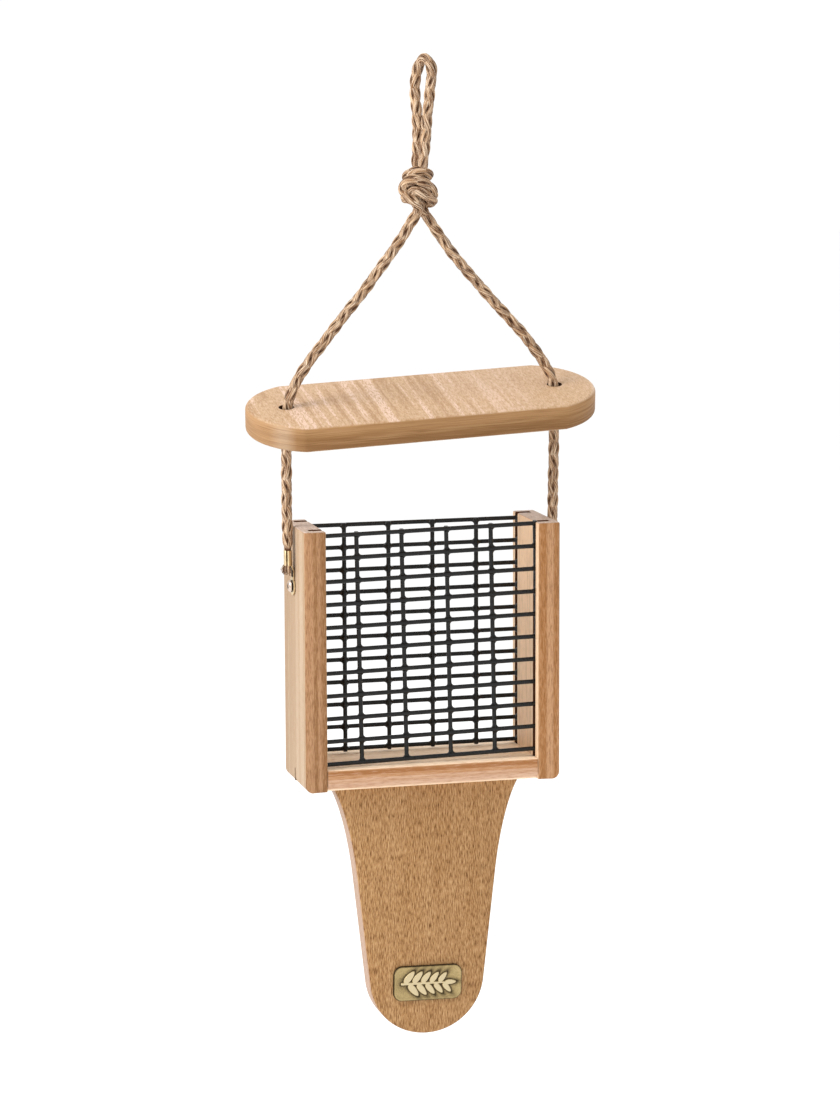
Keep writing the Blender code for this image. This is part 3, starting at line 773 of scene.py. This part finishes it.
BRAID_PITCH = 58.0 * MM
STRANDS_EACH_WAY = 4
STRAND_RADIUS = 1.84 * MM
STRAND_WEAVE = 0.46 * MM
STRAND_HALF_WIDE = 1.50 * MM
STRAND_HALF_THICK = 0.82 * MM
STRAND_SIDES = 10
CORE_R = 1.6 * MM
CORE_SIDES = 8
BRAID_STEP = 1.1 * MM
FRAY_BUNDLES = 24
FRAY_STRAYS = 4
FRAY_SIDES = 6
FRAY_STEP = 0.9 * MM
FRAY_TURN = 0.382  # part of a turn from one bundle to the next


def smooth_step(value):
    value = min(max(value, 0.0), 1.0)
    return value * value * (3 - 2 * value)


def running_lengths(points):
    lengths = [0.0]
    for start, end in zip(points, points[1:]):
        lengths.append(lengths[-1] + (end - start).length)
    return lengths


def smooth_route(points, spacing):
    """Evenly spaced points on a Catmull-Rom curve through the given points."""
    route = [Vector(point) for point in points]
    route = [2 * route[0] - route[1]] + route + [2 * route[-1] - route[-2]]
    fine = []
    for before, start, end, after in zip(route, route[1:], route[2:], route[3:]):
        for step in range(16):
            t = step / 16
            square = 2 * before - 5 * start + 4 * end - after
            cube = 3 * start - before - 3 * end + after
            fine.append(0.5 * (2 * start + (end - before) * t + square * t**2 + cube * t**3))
    fine.append(route[-2])
    lengths = running_lengths(fine)
    count = max(2, round(lengths[-1] / spacing))
    even = []
    cursor = 0
    for index in range(count + 1):
        wanted = lengths[-1] * index / count
        while cursor < len(fine) - 2 and lengths[cursor + 1] < wanted:
            cursor += 1
        span = lengths[cursor + 1] - lengths[cursor]
        even.append(fine[cursor].lerp(fine[cursor + 1], (wanted - lengths[cursor]) / span))
    return even


def route_length(points):
    return sum((end - start).length for start, end in zip(points, points[1:]))


def directions(points):
    """Which way a route runs at each of its points."""
    ends = [points[0], *points, points[-1]]
    return [(after - before).normalized() for before, after in zip(ends, ends[2:])]


def frames_along(points):
    """Two cross directions at each point, carried along without twist."""
    tangents = directions(points)
    side = tangents[0].cross(Vector((0.3, 1.0, 0.1))).normalized()
    frames = []
    for tangent in tangents:
        side = (side - tangent * side.dot(tangent)).normalized()
        frames.append((side, tangent.cross(side)))
    return frames


def round_ring(side, other, radius, count):
    """Evenly spaced offsets on a circle across the route."""
    angles = [2 * math.pi * corner / count for corner in range(count)]
    return [(side * math.cos(angle) + other * math.sin(angle)) * radius for angle in angles]


def new_strands():
    """An empty mesh with the layers that rope_material reads."""
    bm = bmesh.new()
    bm.loops.layers.uv.new("strand")
    bm.verts.layers.float.new("crown")
    return bm


def sweep(bm, rings, crowns, lengths):
    """Join rings of points into a closed tube with flat ends.

    crowns say how far each point stands out of the rope, and the rope material paints shade where they are
    low; lengths place the rings along the strand.
    """
    uv_layer = bm.loops.layers.uv["strand"]
    crown_layer = bm.verts.layers.float["crown"]
    count = len(rings[0])
    rows = [[bm.verts.new(point) for point in ring] for ring in rings]
    for row, values in zip(rows, crowns):
        for vert, value in zip(row, values):
            vert[crown_layer] = value
    for near, far, low, high in zip(rows, rows[1:], lengths, lengths[1:]):
        for corner in range(count):
            after = (corner + 1) % count
            face = bm.faces.new((near[corner], near[after], far[after], far[corner]))
            face.smooth = True
            left, right = corner / count, (corner + 1) / count
            spots = ((left, low), (right, low), (right, high), (left, high))
            for loop, spot in zip(face.loops, spots):
                loop[uv_layer].uv = spot
    bm.faces.new(rows[0][::-1])
    bm.faces.new(rows[-1])


def no_squeeze(length):
    return (1.0, 1.0)


def squeezed(offset, factors):
    return Vector((offset.x * factors[0], offset.y * factors[1], offset.z))


def braid(name, points, material, squeeze=no_squeeze):
    """Eight strands round a core, four each way, each passing over and under the others in turn.

    squeeze returns (x factor, y factor) for a length along the route, to flatten the rope there.
    """
    bm = new_strands()
    frames = frames_along(points)
    lengths = running_lengths(points)
    for way in (1, -1):
        for strand in range(STRANDS_EACH_WAY):
            rings = []
            crowns = []
            for point, (side, other), length in zip(points, frames, lengths):
                factors = squeeze(length)
                turn = 2 * math.pi * length / BRAID_PITCH
                sway = 0.10 * math.sin(length / (7.3 * MM) + 2.1 * strand + way)
                angle = way * turn + 2 * math.pi * strand / STRANDS_EACH_WAY + sway
                lift = STRAND_WEAVE * way * math.cos(STRANDS_EACH_WAY * turn)
                lift += 0.09 * MM * math.sin(length / (4.1 * MM) + 1.3 * strand - way)
                out = side * math.cos(angle) + other * math.sin(angle)
                around = other * math.cos(angle) - side * math.sin(angle)
                centre = out * (STRAND_RADIUS + lift)
                ring = []
                values = []
                for corner in range(STRAND_SIDES):
                    phase = 2 * math.pi * corner / STRAND_SIDES
                    offset = centre + out * (STRAND_HALF_THICK * math.cos(phase))
                    offset = offset + around * (STRAND_HALF_WIDE * math.sin(phase))
                    # The crown value sets the rope material's painted crease shade: lower towards the
                    # strand's edges, where strands meet, and down to zero (darkest) where the crimp squeezes
                    # the rope, for the shade inside the barrel.
                    edge = max(abs(math.sin(phase)) - 0.6, 0.0) / 0.4
                    values.append((offset.length - 1.5 * MM) / (1.7 * MM) * (1.0 - 0.45 * edge))
                    values[-1] *= min(max((factors[0] - 0.53) / 0.15, 0.0), 1.0)
                    ring.append(point + squeezed(offset, factors))
                rings.append(ring)
                crowns.append(values)
            sweep(bm, rings, crowns, [length + 0.31 * strand for length in lengths])
    core = []
    for point, (side, other), length in zip(points, frames, lengths):
        ring = round_ring(side, other, CORE_R, CORE_SIDES)
        core.append([point + squeezed(offset, squeeze(length)) for offset in ring])
    # The core's crown is zero, so where it shows between the strands it is painted in full crease shade.
    sweep(bm, core, [[0.0] * CORE_SIDES for _ in core], lengths)
    return new_object(name, bm, material)


def add_upper_rope(material):
    """One rope from the left lid hole up through the knot, over the loop and down to the right hole."""
    route = list(LEFT_LEG_ROUTE[::-1]) + list(LEFT_KNOT_ROUTE) + list(LOOP_ROUTE)
    route += list(RIGHT_KNOT_ROUTE[::-1]) + list(RIGHT_LEG_ROUTE)
    points = smooth_route(route, BRAID_STEP)
    rope = braid("hanging_rope", points, material)
    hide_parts("rope_loop", "rope_knot", "left_rope_leg", "right_rope_leg")
    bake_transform(rope, "root", "rope_runs", start=(0.0, 0.0, -0.078), end=(0.0, 0.0, -0.178))


def lug_place(side):
    return (LUG_X, LUG_Y) if side < 0 else (2 * BODY_X - LUG_X, -LUG_Y)


def add_rope_run(side, material):
    """The straight run from a lid hole down into the lug, squeezed flat inside the crimp."""
    name = SIDE_NAME[side]
    route = list(LEFT_RUN_ROUTE if side < 0 else RIGHT_RUN_ROUTE)
    x, y = lug_place(side)
    route += [(x, y, CRIMP_ENTRY_Z), (x, y, CRIMP_EXIT_Z)]
    points = smooth_route(route, BRAID_STEP)
    total = route_length(points)
    flat_from = total - (BARREL_TOP - points[-1].z) - CRIMP_EASE

    def squeeze(length):
        t = smooth_step((length - flat_from) / CRIMP_EASE)
        return (1.0 - 0.48 * t, 1.0 - 0.08 * t)

    run = braid(name + "_rope_fall", points, material, squeeze)
    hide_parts(name + "_rope_run")
    low = BARREL_TOP - 15.0 * MM
    high = points[0].z + 6.0 * MM
    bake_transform(run, "root", "rope_runs", start=(0.0, 0.0, low), end=(0.0, 0.0, high))


def add_frayed_end(side, material):
    """The cut rope end below the crimp: loose fibre bundles that splay a little."""
    draw = random.Random(11 + side)
    bm = new_strands()
    name = SIDE_NAME[side]
    x, y = lug_place(side)
    for index in range(FRAY_BUNDLES + FRAY_STRAYS):
        stray = index >= FRAY_BUNDLES
        angle = 2 * math.pi * index * FRAY_TURN
        reach = math.sqrt((index % FRAY_BUNDLES + 0.5) / FRAY_BUNDLES)
        start_x = x + 1.1 * MM * reach * math.cos(angle)
        start_y = y + 2.4 * MM * reach * math.sin(angle)
        start = Vector((start_x, start_y, CRIMP_EXIT_Z + 1.5 * MM))
        length = (3.6 + 3.0 * draw.random()) * MM
        spread = 1.0 + 0.7 * draw.random()
        end_x = x + side * 0.5 * MM + 1.8 * MM * reach * spread * math.cos(angle)
        end_y = y + 2.6 * MM * reach * spread * math.sin(angle) + (draw.random() - 0.5) * 1.6 * MM
        if stray:
            end_x = x + side * (3.0 + 1.4 * draw.random()) * MM
            length = (2.0 + 3.0 * draw.random()) * MM
        end = Vector((end_x, end_y, CRIMP_EXIT_Z + 0.5 * MM - length))
        middle = start.lerp(end, 0.5) + Vector((side * 0.35 * MM, 0.0, 0.3 * MM if stray else 0.0))
        points = smooth_route((start, middle, end), FRAY_STEP)
        thick = 0.16 * MM if stray else (0.5 + 0.2 * draw.random()) * MM
        rings = []
        for step, (point, (one, two)) in enumerate(zip(points, frames_along(points))):
            size = thick * (1.0 - 0.45 * step / (len(points) - 1))
            rings.append([point + offset for offset in round_ring(one, two, size, FRAY_SIDES)])
        # A random crown value for each bundle, so that some bundles get more of the rope material's painted
        # shade than others.
        light = 0.35 + 0.55 * draw.random()
        lengths = [FRAY_STEP * step + 0.1 * index for step in range(len(rings))]
        sweep(bm, rings, [[light] * FRAY_SIDES for _ in rings], lengths)
    obj = new_object(name + "_rope_fray", bm, material)
    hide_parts(name + "_rope_end")
    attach(obj, "root")


# ---- boards


def add_side_board(side, material):
    outer = BODY_X + side * OUTER_HALF
    inner = BODY_X + side * INNER_HALF
    near, far = sorted((inner, outer))
    half = BOARD_DEPTH / 2
    bm = box((near, -half, BOARD_FOOT), (far, half, BOARD_TOP))

    def at_outer_foot(point):
        return abs(point.x - outer) < SAME_PLACE and abs(point.z - BOARD_FOOT) < SAME_PLACE

    def outer_foot(first, second):
        return at_outer_foot(first) and at_outer_foot(second)

    def straight(first, second):
        return (first - second).length > 6.0 * MM

    round_edges(bm, outer_foot, SIDE_FOOT_ROUND, 8)
    round_edges(bm, straight, EDGE_ROUND, 3)
    board = new_object(SIDE_NAME[side] + "_board", bm, material)
    for back in (-1, 1):
        low_y, high_y = sorted((back * KERF_NEAR, back * KERF_FAR))
        low_x, high_x = sorted((inner + side * KERF_DEEP, inner - side * 2 * MM))
        kerf = box((low_x, low_y, BOARD_FOOT - MM), (high_x, high_y, BOARD_TOP + MM))
        boolean(board, kerf, "DIFFERENCE")
    shade_by_angle(board.data)
    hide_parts("left_side_board" if side < 0 else "right_side_board")
    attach(board, "root")


def add_floor_board(material):
    half_x = INNER_HALF - 0.15 * MM
    half_y = BOARD_DEPTH / 2
    bm = box((BODY_X - half_x, -half_y, BOARD_FOOT), (BODY_X + half_x, half_y, FLOOR_TOP))

    def long_edge(height):
        def test(first, second):
            level = all(abs(p.z - height) < SAME_PLACE for p in (first, second))
            return level and first.y == second.y

        return test

    round_edges(bm, long_edge(BOARD_FOOT), FLOOR_FOOT_ROUND, 8)
    round_edges(bm, long_edge(FLOOR_TOP), EDGE_ROUND, 3)
    board = new_object("floor_board", bm, material, smooth_angle=SHARP_ANGLE)
    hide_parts("bottom_board")
    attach(board, "root")


def tail_outline():
    """Two mirrored flares, each a Bezier curve, joined by the round foot."""
    a, b, c, d = (Vector(point) for point in TAIL_FLARE)
    right = []
    for index in range(21):
        t = index / 20
        right.append(a * (1 - t) ** 3 + b * 3 * t * (1 - t) ** 2 + c * 3 * t * t * (1 - t) + d * t**3)
    offset = right[-1] - Vector((0.0, TAIL_FOOT_Z))
    tangent = math.degrees(math.atan2(offset.y, offset.x) - math.acos(TAIL_FOOT_R / offset.length))
    right += [Vector(point) for point in arc((0.0, TAIL_FOOT_Z), TAIL_FOOT_R, tangent, -90, 24)]
    left = [Vector((-point.x, point.y)) for point in reversed(right[:-1])]
    return [(BODY_X + point.x, point.y) for point in right + left]


def add_tail_board(material):
    bm = prism(tail_outline(), "Y", TAIL_FRONT, TAIL_BACK)
    round_edges(bm, lambda first, second: abs(first.y - second.y) < SAME_PLACE, TAIL_EDGE_ROUND, 3)
    board = new_object("tail", bm, material, smooth_angle=SHARP_ANGLE)
    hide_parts("tail_board")
    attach(board, "root")


def add_lid(material):
    place = Matrix.Translation(LID_CENTRE) @ Matrix.Rotation(LID_TIP, 4, LID_AXIS)
    middle = LID_LENGTH / 2 - LID_END_R
    reach = math.degrees(math.asin(LID_WIDTH / 2 / LID_END_R))
    outline = arc((middle, 0.0), LID_END_R, -reach, reach, 44)
    outline += arc((-middle, 0.0), LID_END_R, 180 - reach, 180 + reach, 44)
    bm = prism(outline, "Z", -LID_T / 2, LID_T / 2)
    round_edges(bm, lambda first, second: abs(first.z - second.z) < SAME_PLACE, LID_EDGE_ROUND, 5)
    lid = new_object("roof_slab", bm, material, place)
    for side in (-1, 1):
        hole = cylinder(LID_HOLE_R, 2 * LID_T, 40, "Z", (side * LID_HOLE_X, 0.0, 0.0))
        boolean(lid, hole, "DIFFERENCE", place)
    shade_by_angle(lid.data)
    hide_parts("lid")
    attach(lid, "lid")


# ---- wire grids


def weld_web(x, y, z, ups, rights):
    """The coating's round fillets in the corners of a crossing, on the sides that carry on."""
    web = bmesh.new()
    wire = VISUAL_WIRE_R * 0.9
    reach = wire + FILLET_R
    for up in ups:
        for right in rights:
            outline = [(x, z), (x + right * reach, z)]
            for px, pz in arc((reach, reach), FILLET_R, 270, 180, 5):
                outline.append((x + right * px, z + up * pz))
            outline.append((x, z + up * reach))
            if up * right < 0:
                outline.reverse()
            merge(web, prism(outline, "Y", y - WEB_HALF_THICK, y + WEB_HALF_THICK))
    return web


def add_grid(name, side, x, z, lean, material):
    """Wires, crossings and webs, melted into one skin like a dipped coating."""
    place = Matrix.Translation((x, 0.0, z)) @ Matrix.Rotation(-lean, 4, "Y")
    half_row = COLUMN_PITCH * (COLUMNS - 1) / 2 + ROW_OVERHANG
    half_column = ROW_PITCH * (ROWS - 1) / 2 + COLUMN_OVERHANG
    bm = bmesh.new()
    heights = [(index - (ROWS - 1) / 2) * ROW_PITCH for index in range(ROWS)]
    acrosses = [(index - (COLUMNS - 1) / 2) * COLUMN_PITCH for index in range(COLUMNS)]
    for height in heights:
        merge(bm, cylinder(VISUAL_WIRE_R, 2 * half_row, 14, "X", (0.0, side * ROW_Y, height)))
    for across in acrosses:
        merge(bm, cylinder(VISUAL_WIRE_R, 2 * half_column, 14, "Z", (across, side * COLUMN_Y, 0.0)))
    for height in heights:
        ups = [up for up in (-1, 1) if abs(height + up * ROW_PITCH) < max(heights) + MM]
        for across in acrosses:
            reach = max(acrosses) + MM
            rights = [right for right in (-1, 1) if abs(across + right * COLUMN_PITCH) < reach]
            merge(bm, weld_web(across, side * (ROW_Y + COLUMN_Y) / 2, height, ups, rights))
    grid = new_object(name + "_skin", bm, material, place)
    melt = grid.modifiers.new("melt", "REMESH")
    melt.mode = "VOXEL"
    melt.voxel_size = MELT_VOXEL
    melt.use_smooth_shade = True
    relax = grid.modifiers.new("relax", "SMOOTH")
    relax.factor = 0.5
    relax.iterations = 2
    apply_modifiers(grid)
    if not grid.data.materials:
        grid.data.materials.append(material)
    grid.data.shade_smooth()
    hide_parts(name)
    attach(grid, "root")


# ---- lugs, screws and staples


def offset_strip(path, half):
    """A closed outline that follows an open path at half its thickness on each side."""
    points = [Vector(point) for point in path]
    left = []
    right = []
    for point, direction in zip(points, directions(points)):
        normal = Vector((-direction.y, direction.x))
        left.append(tuple(point + normal * half))
        right.append(tuple(point - normal * half))
    return left + right[::-1]


def smooth_flat(points, per_span=5):
    """A Catmull-Rom curve through flat points."""
    lifted = [Vector((*point, 0.0)) for point in points]
    spacing = route_length(lifted) / (per_span * (len(points) - 1))
    return [(point.x, point.y) for point in smooth_route(lifted, spacing)]


def add_painted_shade(obj, rule):
    """Store which faces lie in deep shade, as 0 or 1, for the metal materials to paint near black as painted
    shade.
    """
    values = [1.0 if rule(face.center, face.normal) else 0.0 for face in obj.data.polygons]
    obj.data.attributes.new("painted_shade", "FLOAT", "FACE").data.foreach_set("value", values)


def add_lug(side, material):
    """A brass open-barrel lug: two wings rolled over the rope, an offset tab and a ring."""
    face = BODY_X - OUTER_HALF - 0.3 * MM
    ring_thick = 0.8 * MM
    wall = LUG_X + CRIMP_HALF_X

    def around(angle, size=1.0):
        turn = math.radians(angle)
        x = LUG_X + size * CRIMP_HALF_X * math.cos(turn)
        return (x, LUG_Y + size * CRIMP_HALF_Y * math.sin(turn))

    long_wing = [around(angle) for angle in range(0, 217, 18)]
    long_wing += [around(223, 0.74), around(226, 0.45)]
    short_wing = [around(-angle) for angle in range(17, 103, 17)]
    short_wing += [around(-107, 0.74), around(-104, 0.45)]
    path = smooth_flat(short_wing[::-1] + long_wing)
    barrel = prism(offset_strip(path, 0.32 * MM), "Z", BARREL_FOOT, BARREL_TOP)
    place = half_turn(side)
    name = SIDE_NAME[side]
    lug = new_object(name + "_crimp_lug", barrel, material, place)
    inner = face - ring_thick / 2
    tab_path = smooth_flat(
        (
            (wall, BARREL_FOOT + 3.0 * MM),
            (wall, BARREL_FOOT),
            (wall + 0.15 * MM, BARREL_FOOT - 0.8 * MM),
            (inner - 0.15 * MM, BARREL_FOOT - 2.6 * MM),
            (inner, BARREL_FOOT - 3.6 * MM),
            (inner, RING_Z + 2.0 * MM),
        )
    )
    tab = prism(offset_strip(tab_path, 0.38 * MM), "Y", LUG_Y - 1.2 * MM, LUG_Y + 3.4 * MM)
    boolean(lug, tab, "UNION", place)
    middle = (inner, 0.0, RING_Z)
    boolean(lug, cylinder(RING_R, ring_thick, 48, "X", middle), "UNION", place)
    boolean(lug, cylinder(RING_HOLE_R, 4 * MM, 32, "X", middle), "DIFFERENCE", place)
    soften = lug.modifiers.new("soften", "BEVEL")
    soften.width = 0.12 * MM
    soften.segments = 2
    soften.limit_method = "ANGLE"
    soften.angle_limit = math.radians(50)
    apply_modifiers(lug)
    shade_by_angle(lug.data, 40)

    def lug_painted_shade(point, normal):
        """Painted shade: the tab's face behind the rope end, and the inside of the barrel."""
        if point.z < BARREL_FOOT - 0.2 * MM:
            return normal.x < -0.5 and point.z > RING_Z + RING_R + 0.2 * MM
        out = math.hypot((point.x - LUG_X) / CRIMP_HALF_X, (point.y - LUG_Y) / CRIMP_HALF_Y)
        return out < 0.99 and abs(normal.z) < 0.5

    add_painted_shade(lug, lug_painted_shade)
    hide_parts(name + "_lug")
    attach(lug, "root")


def add_screw(side, material):
    """A pan-head screw with a cross recess, seated on the lug's ring."""
    seat = BODY_X - OUTER_HALF - 1.4 * MM
    recess_floor = seat - 1.1 * MM
    recess_long, recess_wide = 1.9 * MM, 0.36 * MM
    # Radius and distance behind the seat, in millimetres, over the head and down the shank.
    profile = [(0.0, -2.15), (0.9, -2.12), (1.9, -1.95), (2.7, -1.6), (3.2, -1.1)]
    profile += [(3.45, -0.5), (3.42, -0.1), (3.2, 0.0), (1.5, 0.02), (1.5, 8.0), (0.0, 10.0)]
    bm = bmesh.new()
    verts = [bm.verts.new((seat + x * MM, radius * MM, 0.0)) for radius, x in profile]
    edges = [bm.edges.new(pair) for pair in zip(verts, verts[1:])]
    full_turn = {"cent": (0, 0, 0), "axis": (1, 0, 0), "angle": 2 * math.pi}
    bmesh.ops.spin(bm, geom=verts + edges, steps=40, use_merge=True, **full_turn)
    bmesh.ops.remove_doubles(bm, verts=bm.verts, dist=SAME_PLACE)
    place = half_turn(side) @ Matrix.Translation((0.0, 0.0, RING_Z))
    place = place @ Matrix.Rotation(math.radians(24), 4, "X")
    name = SIDE_NAME[side]
    screw = new_object(name + "_pan_screw", bm, material, place)
    for half_y, half_z in ((recess_long, recess_wide), (recess_wide, recess_long)):
        slot = box((seat - 3 * MM, -half_y, -half_z), (recess_floor, half_y, half_z))
        boolean(screw, slot, "DIFFERENCE", place)

    def screw_painted_shade(point, normal):
        """Painted shade: the rim next to the ring, and the walls and floor of the recess."""
        inner = math.hypot(point.y, point.z) < recess_long + 0.05 * MM
        sunk = abs(normal.x) < 0.5 or point.x > recess_floor - 0.1 * MM
        return inner and sunk or point.x > seat - 0.6 * MM

    add_painted_shade(screw, screw_painted_shade)
    shade_by_angle(screw.data)
    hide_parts(name + "_lug_screw")
    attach(screw, "root")


# ---- badge


def sprig_distance(x, z):
    """Distance, in mm, from a point of the plate to the leaf sprig; negative on the sprig."""
    stem_start, stem_length = -15.0, 28.0
    half_long, half_wide, root_to_middle = 4.3, 1.8, 4.9
    leaf_pitch, leaf_lean = 5.0, 50.0
    along = min(max((x - stem_start) / stem_length, 0.0), 1.0)
    nearest = math.hypot(x - stem_start - stem_length * along, z) - (0.75 - 0.3 * along)
    leaves = [(9.4, 0.0, 0.75)]
    for index in range(5):
        leaves.append((-14.0 + leaf_pitch * index, leaf_lean, 1.0 - 0.05 * index))
        leaves.append((-11.5 + leaf_pitch * index, -leaf_lean, 1.0 - 0.05 * index))
    for root_x, lean, size in leaves:
        turn = math.radians(lean)
        dx = x - root_x - root_to_middle * size * math.cos(turn)
        dz = z - root_to_middle * size * math.sin(turn)
        along = (dx * math.cos(turn) + dz * math.sin(turn)) / (half_long * size)
        across = (dz * math.cos(turn) - dx * math.sin(turn)) / (half_wide * size)
        across *= 1.0 + 0.25 * along
        nearest = min(nearest, (math.hypot(along, across) - 1.0) * half_wide * size)
    return nearest


def add_badge(material):
    """A cast plate with rounded edges, a sunk field and a leaf sprig in relief; sizes in mm."""
    half_w, half_h, corner, thick, edge = 19.8, 10.0, 5.0, 1.9, 0.7
    field_sunk, sprig_raised = 0.3, 0.6
    columns, rows = 160, 82
    bm = bmesh.new()
    relief_layer = bm.verts.layers.float.new("relief")
    grid = []
    for row in range(rows + 1):
        line = []
        for column in range(columns + 1):
            x = half_w * (2 * column / columns - 1)
            z = half_h * (2 * row / rows - 1)
            beyond_x = abs(x) - (half_w - corner)
            beyond_z = abs(z) - (half_h - corner)
            reach = math.hypot(beyond_x, beyond_z)
            if beyond_x > 0 and beyond_z > 0 and reach > corner:
                shrink = corner / reach
                x = math.copysign(half_w - corner + beyond_x * shrink, x)
                z = math.copysign(half_h - corner + beyond_z * shrink, z)
                beyond_x *= shrink
                beyond_z *= shrink
            outside = math.hypot(max(beyond_x, 0), max(beyond_z, 0)) + min(max(beyond_x, beyond_z), 0)
            inset = corner - outside
            height = thick
            if inset < edge:
                height -= edge - math.sqrt(max(edge**2 - (edge - inset) ** 2, 0.0))
            away = sprig_distance(x, z)
            height -= field_sunk * smooth_step((inset - 1.3) / 0.9)
            height += sprig_raised * smooth_step(0.5 - away / 0.5)
            vert = bm.verts.new((x * MM, -height * MM, z * MM))
            # relief: dark patina in the field round the sprig, painted shade along the plate's rounded rim,
            # bright on the sprig.
            field = 0.62 - 0.62 * math.exp(-max(away, 0.0) / 1.1)
            field *= smooth_step((inset + 0.1) / 0.9)
            vert[relief_layer] = field + (1.0 - field) * smooth_step(0.5 - away / 0.4)
            line.append(vert)
        grid.append(line)
    for near, far in zip(grid, grid[1:]):
        for column in range(columns):
            bm.faces.new((near[column], near[column + 1], far[column + 1], far[column]))
    bmesh.ops.remove_doubles(bm, verts=bm.verts, dist=5e-6)
    rim = [item for item in bm.edges if item.is_boundary]
    grown = bmesh.ops.extrude_edge_only(bm, edges=rim)["geom"]
    for item in grown:
        if isinstance(item, bmesh.types.BMVert):
            item.co.y = 0.0
    back_rim = [item for item in grown if isinstance(item, bmesh.types.BMEdge)]
    bmesh.ops.contextual_create(bm, geom=back_rim)
    place = Matrix.Translation((BODY_X, TAIL_FRONT - 0.1 * MM, BADGE_Z))
    place = place @ Matrix.Rotation(BADGE_LEAN, 4, "Y")
    badge = new_object("badge", bm, material, place, smooth_angle=50)
    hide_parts("badge_plate")
    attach(badge, "root")


# ---- assembly


def main():
    add_camera()
    rope = rope_material()
    add_upper_rope(rope)
    for side in (-1, 1):
        add_rope_run(side, rope)
        add_frayed_end(side, rope)
    add_surroundings()

    sides, floor_wood, tail_wood, lid_wood = board_materials()
    for side in (-1, 1):
        add_side_board(side, sides)
    add_floor_board(floor_wood)
    add_tail_board(tail_wood)
    add_lid(lid_wood)

    wire = wire_material()
    add_grid("front_mesh", -1, FRONT_GRID_X, FRONT_GRID_Z, FRONT_GRID_LEAN, wire)
    add_grid("back_mesh", 1, BACK_GRID_X, BACK_GRID_Z, 0.0, wire)

    brass = metal_material("brass", (0.70, 0.55, 0.33), (0.40, 0.26, 0.11), 0.3)
    zinc = metal_material("zinc_steel", (0.60, 0.49, 0.41), (0.34, 0.24, 0.17), 0.34)
    for side in (-1, 1):
        add_lug(side, brass)
        add_screw(side, zinc)
    dull, rust = (0.10, 0.06, 0.022), (0.04, 0.022, 0.009)
    staple_steel = metal_material("staple_steel", dull, rust, 0.65, metallic=0.2)
    for name in ("left_staple", "right_staple", "tail_staple_left", "tail_staple_right"):
        NODES[name].data.materials.clear()
        NODES[name].data.materials.append(staple_steel)
    add_badge(badge_material())


main()
